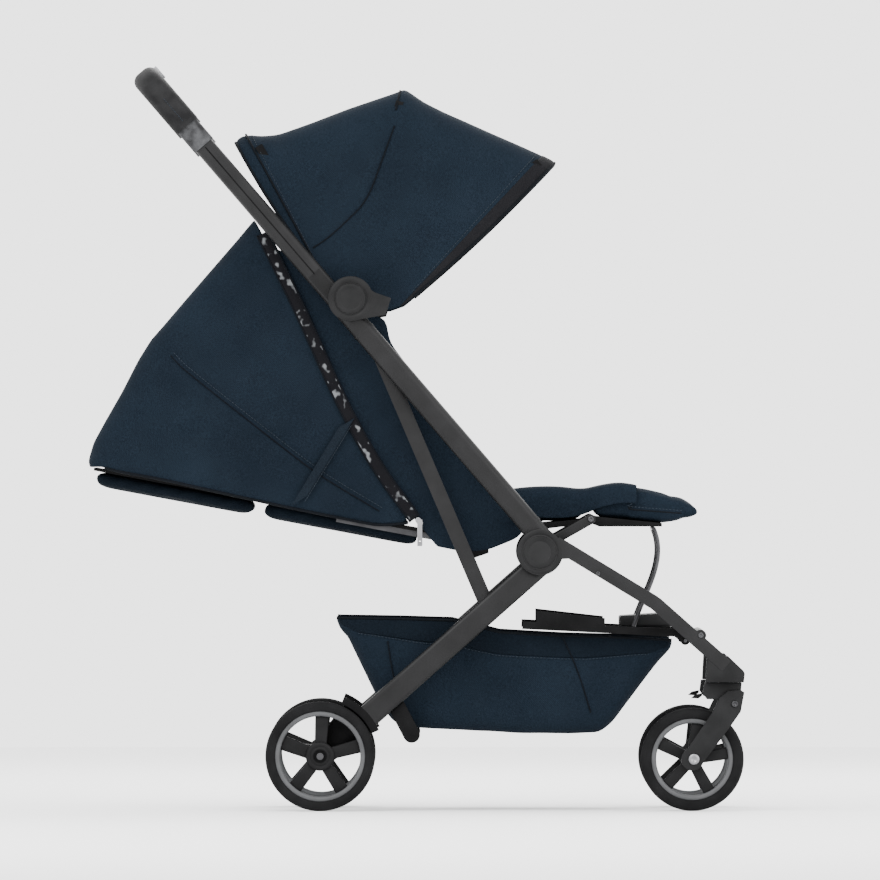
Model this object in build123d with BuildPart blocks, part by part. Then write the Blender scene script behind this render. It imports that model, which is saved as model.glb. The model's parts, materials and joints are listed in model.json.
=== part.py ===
"""Compact folding baby stroller: the frame, wheels, seat, canopy and basket as separate pieces.

Frame: +X forwards, +Y to the rider's left, +Z up, origin on the ground under the middle of the
overall box. Every piece is made at rest: unfolded, backrest fully reclined, canopy open.
"""

from build123d import *
from math import cos, radians, sin
import os

os.makedirs("parts", exist_ok=True)

# ---- overall sizes (mm) -------------------------------------------------------------------
overall_width = 450.0
half_width = overall_width / 2
seat_width = 300.0
side_play = 0.6  # free gap between flat pieces that turn against each other
bore_play = 0.06  # radial clearance of a pin in its bore

# ---- folding hubs -------------------------------------------------------------------------
upper_hub_x, upper_hub_z = -94.0, 733.0
lower_hub_x, lower_hub_z = 177.0, 370.5
hub_radius = 32.0
lower_ring_radius = 32.7
hub_disc_radius = 30.0
cap_radius = 22.0
cap_height = 2.0
upper_pin_radius = 7.0
lower_pin_radius = 8.0
tube_tilt = 49.3  # slope of the long side tubes below the horizontal, degrees
hub_offset = 16.0  # how far the tube's centre line runs behind the upper pivot

# ---- layers from the centre plane outwards ------------------------------------------------
frame_inner = 192.0
tube_depth = 22.0
frame_outer = frame_inner + tube_depth
disc_depth = 10.4
ring_inner = frame_outer + 0.4
ring_depth = half_width - cap_height - ring_inner
ring_outer = ring_inner + ring_depth
strut_inner = 178.0
strut_depth = 9.8
bow_depth = 4.0
bow_gap = 0.5
bow_outer = 175.0
panel_outer = 158.0
panel_wall = 3.5

# ---- tubes and handle ---------------------------------------------------------------------
tube_height = 32.0
tube_wall = 2.0
handle_height = 29.0
handle_depth = 20.0
handle_reach = 428.0  # upper pivot to the middle of the grip, along the tube
handle_bend = 55.0
grip_height = 39.0
grip_depth = 30.0
grip_side = 88.0  # how far the grip reaches down each side
collar_length = 37.0
collar_height = 34.0
collar_depth = 24.0
button_radius = 11.0

# ---- wheels -------------------------------------------------------------------------------
rear_wheel_x, rear_wheel_radius = -137.5, 78.5
rear_tyre_depth = 13.0
rear_tyre_width = 32.0
front_wheel_x, front_wheel_radius = 395.0, 74.0
front_tyre_depth = 14.5
front_tyre_width = 28.0
front_wheel_y = 186.0
axle_radius = 5.0
wheel_spokes = 5
spoke_width = 16.0
wheel_hub_radius = 20.0

# ---- legs and links -----------------------------------------------------------------------
rear_leg_tilt = 41.5
rear_leg_height = 34.0
rear_leg_offset = 13.0
front_leg_height = 19.5
front_leg_depth = 20.0
front_leg_start = (200.0, 383.5)
front_leg_bend = (343.5, 296.5)
front_leg_end = (444.0, 207.5)
strut_foot_x, strut_foot_z = 104.4, 286.6
strut_head_x, strut_head_z = -55.4, 661.0
strut_height = 21.0
strut_pin_radius = 4.0
rear_bar_x, rear_bar_z = -6.6, 109.6
bar_radius = 8.0
front_bar_x, front_bar_z = 407.0, 251.5
rail_hinge_x, rail_hinge_z = 385.0, 244.0
rail_back_x = 152.0
rail_height = 11.0
caster_x = 440.0
caster_split_z = 184.3
fork_pivot_x, fork_pivot_z = 455.8, 153.5

# ---- seat ---------------------------------------------------------------------------------
seat_bar_x, seat_bar_z = 145.4, 418.0
back_hinge_x, back_hinge_z = 33.0, 390.0
back_tilt = 169.4  # direction of the reclined backrest from its hinge, degrees
back_length = 505.0
back_pad_thickness = 20.0
board_thickness = 4.0
liner_thickness = 12.0
rest_hinge_x, rest_hinge_z = 249.8, 417.6
wire_radius = 3.0
wire_y = 130.0

half_seat = seat_width / 2
SIDES = (("right", -1), ("left", 1))


def save(piece, name):
    """Labels a finished piece and writes it as its own STEP file."""
    piece.part.label = name
    export_step(piece.part, f"parts/{name}.step")


def side(distance):
    """Vertical plane facing the near side, `distance` out from the centre plane."""
    return Plane.XZ.offset(distance)


# ---- working planes -----------------------------------------------------------------------
tube_dir = Vector(cos(radians(tube_tilt)), 0, -sin(radians(tube_tilt)))
tube_up = Vector(sin(radians(tube_tilt)), 0, cos(radians(tube_tilt)))
tube_origin = Vector(upper_hub_x, 0, upper_hub_z) - hub_offset * tube_up
# x runs down the side tube from the upper pivot, y points forwards and up, out of the tube
tube_plane = Plane(origin=tube_origin, x_dir=tube_dir, z_dir=(0, -1, 0))
# the same line seen square on, with y across the stroller: the plane of the handle's U
handle_plane = Plane(origin=tube_origin, x_dir=tube_dir, z_dir=tube_up)
upper_local = tube_plane.to_local_coords(Vector(upper_hub_x, 0, upper_hub_z))
lower_local = tube_plane.to_local_coords(Vector(lower_hub_x, 0, lower_hub_z))
leg_dir = Vector(-cos(radians(rear_leg_tilt)), 0, -sin(radians(rear_leg_tilt)))
leg_plane = Plane(origin=(lower_hub_x, 0, lower_hub_z), x_dir=leg_dir, z_dir=(0, -1, 0))
rear_wheel_local = leg_plane.to_local_coords(Vector(rear_wheel_x, 0, rear_wheel_radius))
rear_bar_local = leg_plane.to_local_coords(Vector(rear_bar_x, 0, rear_bar_z))
back_dir = Vector(cos(radians(back_tilt)), 0, sin(radians(back_tilt)))
back_plane = Plane(origin=(back_hinge_x, 0, back_hinge_z), x_dir=back_dir, z_dir=(0, 1, 0))
turn_radius = hub_disc_radius + 1.6  # tubes stop here so that the discs can turn

# ---- side tubes ---------------------------------------------------------------------------
tube_start = upper_local.X + 8.0
tube_end = lower_local.X - 8.0
tube_middle = frame_inner + tube_depth / 2
with BuildPart() as side_tubes:
    with BuildSketch(Plane(tube_plane.from_local_coords((tube_start, 0, tube_middle)),
                           x_dir=(0, 1, 0), z_dir=tube_dir)):
        RectangleRounded(tube_depth, tube_height, tube_depth / 2 - 0.5)
        RectangleRounded(tube_depth - 2 * tube_wall, tube_height - 2 * tube_wall,
                         tube_depth / 2 - tube_wall - 0.5, mode=Mode.SUBTRACT)
    extrude(amount=tube_end - tube_start)
    for collar_x in (tube_start + 38.0, tube_end - 32.0):
        with BuildSketch(Plane(tube_plane.from_local_coords((collar_x, 0, tube_middle)),
                               x_dir=(0, 1, 0), z_dir=tube_dir)):
            RectangleRounded(tube_depth + 0.6, tube_height + 1.6, tube_depth / 2 - 0.3)
            RectangleRounded(tube_depth - 1.0, tube_height - 1.0, tube_depth / 2 - 2.0, mode=Mode.SUBTRACT)
        extrude(amount=4.0)
    with BuildSketch(side(frame_inner - 2)):
        with Locations((upper_hub_x, upper_hub_z), (lower_hub_x, lower_hub_z)):
            Circle(turn_radius)
    extrude(amount=tube_depth + 4, mode=Mode.SUBTRACT)
    mirror(about=Plane.XZ)
save(side_tubes, "side_tubes")

# ---- hub castings that plug into the side tubes -------------------------------------------
insert_inner = frame_inner + 2 * tube_wall
insert_depth = frame_inner + disc_depth - insert_inner
insert_height = tube_height - 6 * tube_wall
insert_length = 58.0
with BuildPart() as upper_hubs:
    with BuildSketch(side(frame_inner)):
        with Locations((upper_hub_x, upper_hub_z)):
            Circle(hub_disc_radius)
    extrude(amount=disc_depth)
    with BuildSketch(tube_plane.offset(insert_inner)):
        with Locations((insert_length / 2, 0)):
            Rectangle(insert_length, insert_height)
    extrude(amount=insert_depth)
    with BuildSketch(side(frame_inner - 1)):
        with Locations((upper_hub_x, upper_hub_z)):
            Circle(upper_pin_radius + bore_play)
    extrude(amount=disc_depth + 2, mode=Mode.SUBTRACT)
    mirror(about=Plane.XZ)
save(upper_hubs, "upper_hubs")

with BuildPart() as lower_hubs:
    with BuildSketch(side(frame_inner)):
        with Locations((lower_hub_x, lower_hub_z)):
            Circle(hub_disc_radius)
    extrude(amount=disc_depth)
    with BuildSketch(tube_plane.offset(insert_inner)):
        with Locations((lower_local.X - insert_length / 2, 0)):
            Rectangle(insert_length, insert_height)
    extrude(amount=insert_depth)
    with BuildSketch(side(frame_inner - 1)):
        with Locations((lower_hub_x, lower_hub_z)):
            Circle(lower_pin_radius + bore_play)
    extrude(amount=disc_depth + 2, mode=Mode.SUBTRACT)
    mirror(about=Plane.XZ)
save(lower_hubs, "lower_hubs")

# ---- handle -------------------------------------------------------------------------------
disc_two = frame_inner + disc_depth + side_play  # second layer of each hub
handle_centre = frame_inner + tube_depth / 2
handle_low = -(hub_disc_radius * 0.3)
crossbar_x = upper_local.X - handle_reach
cheek_length = 62.0
cheek_height = handle_height - 9.0
with BuildPart() as handle_frame:
    with BuildLine(handle_plane) as u_line:
        FilletPolyline((handle_low, -handle_centre), (crossbar_x, -handle_centre), (crossbar_x, handle_centre),
                       (handle_low, handle_centre), radius=handle_bend)
    with BuildSketch(Plane(handle_plane.from_local_coords((handle_low, -handle_centre, 0)),
                           x_dir=(0, 1, 0), z_dir=-1 * tube_dir)):
        RectangleRounded(handle_depth, handle_height, handle_depth / 2 - 1)
        RectangleRounded(handle_depth - 2 * tube_wall, handle_height - 2 * tube_wall,
                         handle_depth / 2 - 1 - tube_wall, mode=Mode.SUBTRACT)
    sweep(path=u_line.line)
    with BuildSketch(side(-half_width)):
        with Locations((upper_hub_x, upper_hub_z)):
            Circle(turn_radius)
    extrude(amount=overall_width, mode=Mode.SUBTRACT)
    for layer in (disc_two, -disc_two - disc_depth):
        with BuildSketch(tube_plane.offset(layer)):
            with Locations((-cheek_length / 2, 0)):
                Rectangle(cheek_length, cheek_height)
        extrude(amount=disc_depth, mode=Mode.SUBTRACT)
save(handle_frame, "handle_frame")

# each hub disc carries a cheek let into the handle tube's lower end
with BuildPart() as handle_hubs:
    with BuildSketch(tube_plane.offset(disc_two)):
        with Locations((-cheek_length / 2, 0)):
            Rectangle(cheek_length, cheek_height)
    extrude(amount=disc_depth)
    with BuildSketch(side(disc_two)):
        with Locations((upper_hub_x, upper_hub_z)):
            Circle(hub_disc_radius)
    extrude(amount=disc_depth)
    with BuildSketch(side(disc_two - 1)):
        with Locations((upper_hub_x, upper_hub_z)):
            Circle(upper_pin_radius + bore_play)
    extrude(amount=disc_depth + 2, mode=Mode.SUBTRACT)
    mirror(about=Plane.XZ)
save(handle_hubs, "handle_hubs")

grip_end = crossbar_x + grip_side
with BuildPart() as handle_grip:
    with BuildLine(handle_plane) as grip_line:
        FilletPolyline((grip_end, -handle_centre), (crossbar_x, -handle_centre), (crossbar_x, handle_centre),
                       (grip_end, handle_centre), radius=handle_bend)
    with BuildSketch(Plane(handle_plane.from_local_coords((grip_end, -handle_centre, 0)),
                           x_dir=(0, 1, 0), z_dir=-1 * tube_dir)):
        RectangleRounded(grip_depth, grip_height, grip_depth / 2 - 1)
        RectangleRounded(handle_depth, handle_height, handle_depth / 2 - 1, mode=Mode.SUBTRACT)
    sweep(path=grip_line.line)
    # socket for the fold button, open at the front of the crossbar's middle
    with BuildSketch(handle_plane.offset(handle_height / 2)):
        with Locations((crossbar_x, 0)):
            Circle(button_radius + 0.5)
    extrude(amount=grip_height, mode=Mode.SUBTRACT)
save(handle_grip, "handle_grip")

with BuildPart() as fold_button:
    with BuildSketch(handle_plane.offset(handle_height / 2 + 3.0)):
        with Locations((crossbar_x, 0)):
            Circle(button_radius)
    extrude(amount=5.0)
    fillet(fold_button.edges().filter_by(GeomType.CIRCLE).group_by(Axis.Z)[-1], radius=1.0)
save(fold_button, "fold_button")

with BuildPart() as handle_collars:
    with BuildSketch(Plane(tube_plane.from_local_coords((grip_end, 0, handle_centre)),
                           x_dir=(0, 1, 0), z_dir=tube_dir)):
        RectangleRounded(collar_depth, collar_height, collar_depth / 2 - 1)
        RectangleRounded(handle_depth, handle_height, handle_depth / 2 - 1, mode=Mode.SUBTRACT)
    extrude(amount=collar_length)
    mirror(about=Plane.XZ)
save(handle_collars, "handle_collars")

# ---- canopy: brackets, bows and cover -----------------------------------------------------
bow_eye_radius = 12.0
bow_width = 11.0
rear_bow = (256.0, 121.0)
mid_bow = (292.0, 76.0)
front_bow = (334.0, 36.0)
bow_layers = (bow_outer - bow_depth, bow_outer - 2 * bow_depth - bow_gap,
              bow_outer - 3 * bow_depth - 2 * bow_gap)
tail_length = 58.0
pin_inner = bow_layers[2]
upper_centre = (upper_hub_x, upper_hub_z)


def build_bow(name, reach, angle, layer, bore):
    """Flat bow: an eye and a strip up each side, joined by a crossbar at `reach` from the pivot."""
    bow_plane = Plane(origin=(upper_hub_x, 0, upper_hub_z),
                      x_dir=(cos(radians(angle)), 0, sin(radians(angle))), z_dir=(0, -1, 0))
    with BuildPart() as bow:
        with BuildSketch(bow_plane.offset(layer)):
            Circle(bow_eye_radius)
            with Locations((reach / 2, 0)):
                Rectangle(reach, bow_width)
            Circle(bore, mode=Mode.SUBTRACT)
        extrude(amount=bow_depth)
        mirror(about=Plane.XZ)
        with BuildSketch(bow_plane.offset(-layer)):
            with Locations((reach - bow_depth / 2, 0)):
                Rectangle(bow_depth, bow_width)
        extrude(amount=2 * layer)
    save(bow, name)


build_bow("canopy_rear_bow", *rear_bow, bow_layers[0], upper_pin_radius + bore_play)
build_bow("canopy_mid_bow", *mid_bow, bow_layers[1], upper_pin_radius + bore_play)
build_bow("canopy_front_bow", *front_bow, bow_layers[2], upper_pin_radius)

with BuildPart() as canopy_brackets:
    with BuildSketch(side(ring_inner)):
        with Locations(upper_centre):
            Circle(hub_radius)
        with BuildLine():
            Polyline((upper_hub_x, upper_hub_z - hub_radius), (upper_hub_x + 0.86 * tail_length, upper_hub_z - 23),
                     (upper_hub_x + tail_length, upper_hub_z + 1), (upper_hub_x + 0.6 * tail_length, upper_hub_z + 9),
                     (upper_hub_x + 5, upper_hub_z + hub_radius - 2), close=True)
        make_face()
    extrude(amount=ring_depth)
    with BuildSketch(side(ring_outer)):
        with Locations(upper_centre):
            Circle(cap_radius)
    extrude(amount=cap_height)
    fillet(canopy_brackets.faces().sort_by(Axis.Y)[0].edges(), radius=cap_height * 0.8)
    with BuildSketch(side(pin_inner)):
        with Locations(upper_centre):
            Circle(upper_pin_radius)
    extrude(amount=ring_inner - pin_inner)
    mirror(about=Plane.XZ)
save(canopy_brackets, "canopy_brackets")

cover_wall = 3.5
canopy_outer = bow_outer + 0.3 + cover_wall
canopy_points = ((-259, 954), (-248, 966), (-198, 969), (-98, 1005), (-27, 1028), (-18, 1034), (10, 1015),
                 (72, 986), (147, 953), (198, 928), (172, 896), (111, 842), (14, 751), (-18, 726),
                 (-32, 718), (-100, 716), (-142, 778), (-184, 830), (-227, 888))
with BuildPart() as canopy_cover:
    with BuildSketch(side(-canopy_outer)):
        with BuildLine():
            Polyline(*canopy_points, close=True)
        make_face()
        with Locations(upper_centre):
            Circle(hub_radius + 2, mode=Mode.SUBTRACT)
    extrude(amount=2 * canopy_outer)
    with BuildSketch(side(-canopy_outer + cover_wall)):
        with BuildLine():
            Polyline((-252, 948), (-244, 961), (-198, 964), (-97, 1000), (-18, 1028), (8, 1010), (70, 981),
                     (145, 948), (190, 926), (400, 800), (60, 600), (-95, 640), (-94, 716), (-137, 780),
                     (-179, 833), (-222, 890), close=True)
        make_face()
    extrude(amount=2 * (canopy_outer - cover_wall), mode=Mode.SUBTRACT)
save(canopy_cover, "canopy_cover")

# ---- lower hubs: pins, rear legs and front legs -------------------------------------------
lower_centre = (lower_hub_x, lower_hub_z)
fender_outer = rear_wheel_radius + 13.5
fender_inner = rear_wheel_radius + 2.5
leg_end = rear_wheel_local.X - fender_outer + 3
with BuildPart() as rear_legs:
    with BuildSketch(Plane(leg_plane.from_local_coords((10, rear_leg_offset, tube_middle)),
                           x_dir=(0, 1, 0), z_dir=leg_dir)):
        RectangleRounded(tube_depth, rear_leg_height, 6)
        RectangleRounded(tube_depth - 2 * tube_wall, rear_leg_height - 2 * tube_wall, 4, mode=Mode.SUBTRACT)
    extrude(amount=leg_end - 10)
    with BuildSketch(side(frame_inner - 1)):
        with Locations(lower_centre):
            Circle(turn_radius)
        with Locations((rear_wheel_x, rear_wheel_radius)):
            Circle(fender_outer)
    extrude(amount=tube_depth + 2, mode=Mode.SUBTRACT)
    with BuildSketch(leg_plane.offset(disc_two)):
        Circle(hub_disc_radius)
        with Locations((cheek_length / 2, rear_leg_offset)):
            Rectangle(cheek_length, rear_leg_height - 2 * tube_wall - 6)
        Circle(lower_pin_radius + bore_play, mode=Mode.SUBTRACT)
    extrude(amount=disc_depth)
    mirror(about=Plane.XZ)
save(rear_legs, "rear_legs")

front_leg_inner = ring_outer - front_leg_depth
with BuildPart() as front_legs:
    with BuildSketch(side(front_leg_inner)):
        with BuildLine():
            Polyline(front_leg_start, front_leg_bend, front_leg_end)
        trace(line_width=front_leg_height)
        with Locations(lower_centre):
            Circle(turn_radius, mode=Mode.SUBTRACT)
    extrude(amount=front_leg_depth)
    with BuildSketch(side(ring_inner)):
        with Locations(lower_centre):
            Circle(lower_ring_radius)
        with BuildLine():
            Polyline((lower_hub_x + 10, lower_hub_z + 30), (front_leg_start[0] + 20, front_leg_start[1] - 2),
                     (front_leg_start[0] + 20, front_leg_start[1] - 22), (lower_hub_x + 30, lower_hub_z - 10),
                     close=True)
        make_face()
    extrude(amount=ring_depth)
    with BuildSketch(side(ring_outer)):
        with Locations(lower_centre):
            Circle(cap_radius)
    extrude(amount=cap_height)
    fillet(front_legs.faces().sort_by(Axis.Y)[0].edges(), radius=cap_height * 0.8)
    with BuildSketch(side(frame_inner - 3)):
        with Locations(lower_centre):
            Circle(lower_pin_radius)
    extrude(amount=ring_inner - frame_inner + 3)
    mirror(about=Plane.XZ)
    with BuildSketch(side(-front_leg_inner)):
        with Locations((front_bar_x, front_bar_z)):
            Circle(bar_radius)
    extrude(amount=2 * front_leg_inner)
save(front_legs, "front_legs")

# leg ends: solid blocks above the casters
block_inner = front_wheel_y - 16.0
stem_radius = 6.0
stem_length = 14.0
with BuildPart() as caster_blocks:
    with BuildSketch(side(block_inner)):
        with BuildLine():
            Polyline((416, 222), (446, 222), (468, 201), (470, 197), (468.5, caster_split_z),
                     (414, caster_split_z), close=True)
        make_face()
    extrude(amount=ring_outer - block_inner)
    with BuildSketch(side(front_leg_inner)):
        with BuildLine():
            Polyline(front_leg_start, front_leg_bend, front_leg_end)
        trace(line_width=front_leg_height)
    extrude(amount=front_leg_depth, mode=Mode.SUBTRACT)
    with BuildSketch(Plane.XY.offset(caster_split_z - 1)):
        with Locations((caster_x, -front_wheel_y)):
            Circle(stem_radius + bore_play)
    extrude(amount=stem_length + 2, mode=Mode.SUBTRACT)
    mirror(about=Plane.XZ)
save(caster_blocks, "caster_blocks")

# ---- casters ------------------------------------------------------------------------------
fork_arm_depth = 7.0
fork_arm_gap = 2.0
arm_outer = front_wheel_y + front_tyre_width / 2 + fork_arm_gap
head_half = arm_outer - front_wheel_y
head_top = caster_split_z - side_play
lock_x = 404.0
arm_points = ((464, head_top - 10), (469.5, 170), (464.4, 142.6), (451.4, 123.8), (408, 66), (392, 60),
              (380, 72), (386, 86), (424, 142), (434, 162), (446, 172))
for name, sign in SIDES:
    middle = -sign * front_wheel_y  # signed distance towards the near side
    with BuildPart() as swivel_head:
        with BuildSketch(side(middle - head_half + 0.5)):
            with BuildLine():
                Polyline((412, head_top), (410, 168), (416, 160), (440, 160), (446, 145), (462, 147),
                         (466, head_top), close=True)
            make_face()
        extrude(amount=2 * head_half - 1)
        with BuildSketch(side(middle - head_half)):
            with Locations((fork_pivot_x, fork_pivot_z)):
                Circle(axle_radius / 2 + bore_play)
        extrude(amount=2 * head_half, mode=Mode.SUBTRACT)
        with BuildSketch(Plane.XY.offset(head_top)):
            with Locations((caster_x, -middle)):
                Circle(stem_radius)
        extrude(amount=stem_length)
    save(swivel_head, f"swivel_head_{name}")
    with BuildPart() as fork:
        for start in (middle - head_half - fork_arm_depth, middle + head_half):
            with BuildSketch(side(start)):
                with BuildLine():
                    Polyline(*arm_points, close=True)
                make_face()
                with Locations((front_wheel_x, front_wheel_radius)):
                    Circle(16.0)
            extrude(amount=fork_arm_depth)
        with BuildSketch(side(middle - head_half)):
            with Locations((front_wheel_x, front_wheel_radius)):
                Circle(axle_radius)
        extrude(amount=2 * head_half)
        with BuildSketch(side(middle - head_half)):
            with Locations((fork_pivot_x, fork_pivot_z)):
                Circle(axle_radius / 2)
        extrude(amount=2 * head_half)
    save(fork, f"caster_fork_{name}")
    with BuildPart() as lever:
        with BuildSketch(side(middle - 6)):
            with BuildLine():
                Polyline((393, 161.5), (lock_x, 161), (lock_x + 5.2, 165), (lock_x + 5.2, 168.6), (399, 166.5),
                         close=True)
            make_face()
        extrude(amount=12)
    save(lever, f"swivel_lock_{name}")


def build_wheel(name, x, radius, depth, width, middle, bore):
    """Tyre and spoked rim, centred `middle` out from the centre plane."""
    rim_radius = radius - depth
    with BuildPart() as tyre:
        with BuildSketch(side(middle - width / 2)):
            with Locations((x, radius)):
                Circle(radius)
                Circle(rim_radius, mode=Mode.SUBTRACT)
        extrude(amount=width)
        rims = tyre.edges().filter_by(GeomType.CIRCLE).filter_by(lambda edge: edge.radius > radius - 0.1)
        fillet(rims, radius=depth * 0.55)
    save(tyre, f"{name}_tyre")
    flat_radius = rim_radius * 0.6
    with BuildPart() as rim:
        with BuildSketch(side(middle - width / 2 + 2)):
            with Locations((x, radius)):
                Circle(rim_radius)
                RegularPolygon(flat_radius, wheel_spokes, major_radius=False, rotation=-90, mode=Mode.SUBTRACT)
        extrude(amount=width - 4)
        with BuildSketch(side(middle - width / 4)):
            with Locations((x, radius)):
                Circle(wheel_hub_radius)
                with PolarLocations(rim_radius * 0.42, wheel_spokes, start_angle=90):
                    Rectangle(rim_radius * 0.84, spoke_width)
        extrude(amount=width / 2)
        with BuildSketch(side(middle - width / 2)):
            with Locations((x, radius)):
                Circle(wheel_hub_radius * 0.62)
        extrude(amount=width)
        with BuildSketch(side(middle - width / 2 - 1)):
            with Locations((x, radius)):
                Circle(bore)
        extrude(amount=width + 2, mode=Mode.SUBTRACT)
    save(rim, f"{name}_rim")


rear_wheel_y = half_width - 2.0 - rear_tyre_width / 2
for name, sign in SIDES:
    build_wheel(f"front_{name}", front_wheel_x, front_wheel_radius, front_tyre_depth, front_tyre_width,
                -sign * front_wheel_y, axle_radius + bore_play)
    build_wheel(f"rear_{name}", rear_wheel_x, rear_wheel_radius, rear_tyre_depth, rear_tyre_width,
                -sign * rear_wheel_y, axle_radius + bore_play)

# ---- rear axle, fenders, lower bar and brake ----------------------------------------------
wheel_centre = (rear_wheel_x, rear_wheel_radius)
axle_bar_half = rear_wheel_y - rear_tyre_width / 2 - 12.0
with BuildPart() as rear_axle:
    with BuildSketch(side(-half_width)):
        with Locations(wheel_centre):
            Circle(axle_radius)
    extrude(amount=overall_width)
    with BuildSketch(side(-axle_bar_half)):
        with Locations(wheel_centre):
            Circle(bar_radius)
    extrude(amount=2 * axle_bar_half)
save(rear_axle, "rear_axle")

cheek_inner = axle_bar_half + 0.4
fender_width = 9.0
with BuildPart() as fenders:
    with BuildSketch(side(cheek_inner)):
        with BuildLine():
            CenterArc(wheel_centre, fender_outer, 24, 44)
            CenterArc(wheel_centre, fender_inner, 24, 44)
            for angle in (24, 68):
                Line((rear_wheel_x + fender_inner * cos(radians(angle)),
                      rear_wheel_radius + fender_inner * sin(radians(angle))),
                     (rear_wheel_x + fender_outer * cos(radians(angle)),
                      rear_wheel_radius + fender_outer * sin(radians(angle))))
        make_face()
    extrude(amount=frame_outer - cheek_inner)
    with BuildSketch(side(cheek_inner)):
        with BuildLine():
            Polyline((rear_wheel_x - 10, rear_wheel_radius - 10), (rear_wheel_x + 12, rear_wheel_radius - 12),
                     (rear_wheel_x + 80, rear_wheel_radius + 40), (rear_wheel_x + 40, rear_wheel_radius + 80),
                     (rear_wheel_x - 12, rear_wheel_radius + 12), close=True)
        make_face()
        with Locations(wheel_centre):
            Circle(axle_radius + bore_play, mode=Mode.SUBTRACT)
    extrude(amount=fender_width)
    mirror(about=Plane.XZ)
save(fenders, "fenders")

bracket_width = 24.0
with BuildPart() as rear_bar:
    with BuildSketch(leg_plane.offset(frame_inner)):
        with BuildLine():
            Polyline((rear_bar_local.X - 15, rear_leg_offset), (rear_bar_local.X, rear_bar_local.Y))
        trace(line_width=bracket_width)
        with Locations((rear_bar_local.X, rear_bar_local.Y)):
            Circle(bracket_width / 2)
    extrude(amount=10.0)
    with BuildSketch(leg_plane.offset(frame_inner - 1)):
        with Locations((rear_bar_local.X / 2, rear_leg_offset)):
            Rectangle(rear_bar_local.X + 60, rear_leg_height)
    extrude(amount=12.0, mode=Mode.SUBTRACT)
    mirror(about=Plane.XZ)
    with BuildSketch(side(-frame_inner)):
        with Locations((rear_bar_x, rear_bar_z)):
            Circle(bar_radius)
    extrude(amount=2 * frame_inner)
save(rear_bar, "rear_bar")

with BuildPart() as brake_pedal:
    with BuildSketch(side(-32)):
        with Locations(wheel_centre):
            Circle(bar_radius + 5)
        with BuildLine():
            Polyline((rear_wheel_x - 8, rear_wheel_radius - 10), (rear_wheel_x - 62, rear_wheel_radius + 8),
                     (rear_wheel_x - 58, rear_wheel_radius + 17), (rear_wheel_x, rear_wheel_radius + 13), close=True)
        make_face()
        with Locations(wheel_centre):
            Circle(bar_radius + bore_play, mode=Mode.SUBTRACT)
    extrude(amount=64)
save(brake_pedal, "brake_pedal")

# ---- struts and side rails ----------------------------------------------------------------
with BuildPart() as struts:
    with BuildSketch(side(strut_inner)):
        with BuildLine():
            Line((strut_foot_x, strut_foot_z), (strut_head_x, strut_head_z))
        trace(line_width=strut_height)
        with Locations((strut_foot_x, strut_foot_z), (strut_head_x, strut_head_z)):
            Circle(strut_height / 2)
    extrude(amount=strut_depth)
    with BuildSketch(side(strut_inner + strut_depth)):
        with Locations((strut_foot_x, strut_foot_z), (strut_head_x, strut_head_z)):
            Circle(strut_height / 3)
    extrude(amount=frame_inner - strut_inner - strut_depth - 0.4)
    mirror(about=Plane.XZ)
save(struts, "struts")

rail_line = ((rail_hinge_x, rail_hinge_z), (372.0, 255.0), (rail_back_x, 266.0))
rod_x, rod_z, rod_radius = 311.8, 259.0, 4.0
with BuildPart() as side_rails:
    with BuildSketch(side(strut_inner)):
        with BuildLine():
            Polyline(*rail_line)
        trace(line_width=rail_height)
        with Locations((rail_hinge_x, rail_hinge_z)):
            Circle(rail_height / 2 + 1)
    extrude(amount=strut_depth)
    with BuildSketch(side(strut_inner + strut_depth)):
        with Locations((rail_hinge_x, rail_hinge_z)):
            Circle(rail_height / 3)
    extrude(amount=front_leg_inner - strut_inner - strut_depth - 0.4)
    with BuildSketch(side(strut_inner)):
        with BuildLine():
            Polyline((172.0, 270.0), (172.0, 287.0), (270.0, 276.0), (270.0, 265.2), close=True)
        make_face()
    extrude(amount=strut_depth)
    mirror(about=Plane.XZ)
    with BuildSketch(side(-strut_inner)):
        with Locations((rod_x, rod_z)):
            Circle(rod_radius)
    extrude(amount=2 * strut_inner)
save(side_rails, "side_rails")

plate_half = 118.0
with BuildPart() as foot_plate:
    with BuildSketch(side(-plate_half)):
        with BuildLine():
            Polyline((292, 263.3), (292, 278), (352, 282), (370, 270), (366, 263.3), close=True)
        make_face()
    extrude(amount=2 * plate_half)
save(foot_plate, "foot_plate")

# ---- seat base and front edge -------------------------------------------------------------
with BuildPart() as seat_bar:
    with BuildSketch(side(-frame_inner)):
        with Locations((seat_bar_x, seat_bar_z)):
            Circle(bar_radius)
    extrude(amount=2 * frame_inner)
save(seat_bar, "seat_bar")

back_hinge = (back_hinge_x, back_hinge_z)
frame_rod = 4.0
ear_inner, ear_width, ear_radius = 70.0, 18.0, 8.0
with BuildPart() as seat_base:
    with BuildSketch(side(-half_seat + 2)):
        with BuildLine():
            Polyline((44, 384), (98, 381), (156, 400), (236, 410), (236, 418), (seat_bar_x + 12, 410),
                     (seat_bar_x - 12, 410), (44, 396), close=True)
        make_face()
    extrude(amount=seat_width - 4)
    with BuildSketch(side(ear_inner)):
        with Locations(back_hinge):
            Circle(ear_radius)
        with Locations((back_hinge_x + 7, back_hinge_z)):
            Rectangle(14, 12)
        with Locations(back_hinge):
            Circle(frame_rod + bore_play, mode=Mode.SUBTRACT)
    extrude(amount=ear_width)
    with BuildSketch(side(half_seat - 2)):
        with BuildLine():
            Polyline((60, 384), (103.7, 377), (103.7, 369), (82, 361.5), (64, 366), close=True)
        make_face()
    extrude(amount=panel_outer - panel_wall - half_seat + 1.6)
    mirror(about=Plane.XZ)
save(seat_base, "seat_base")

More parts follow.
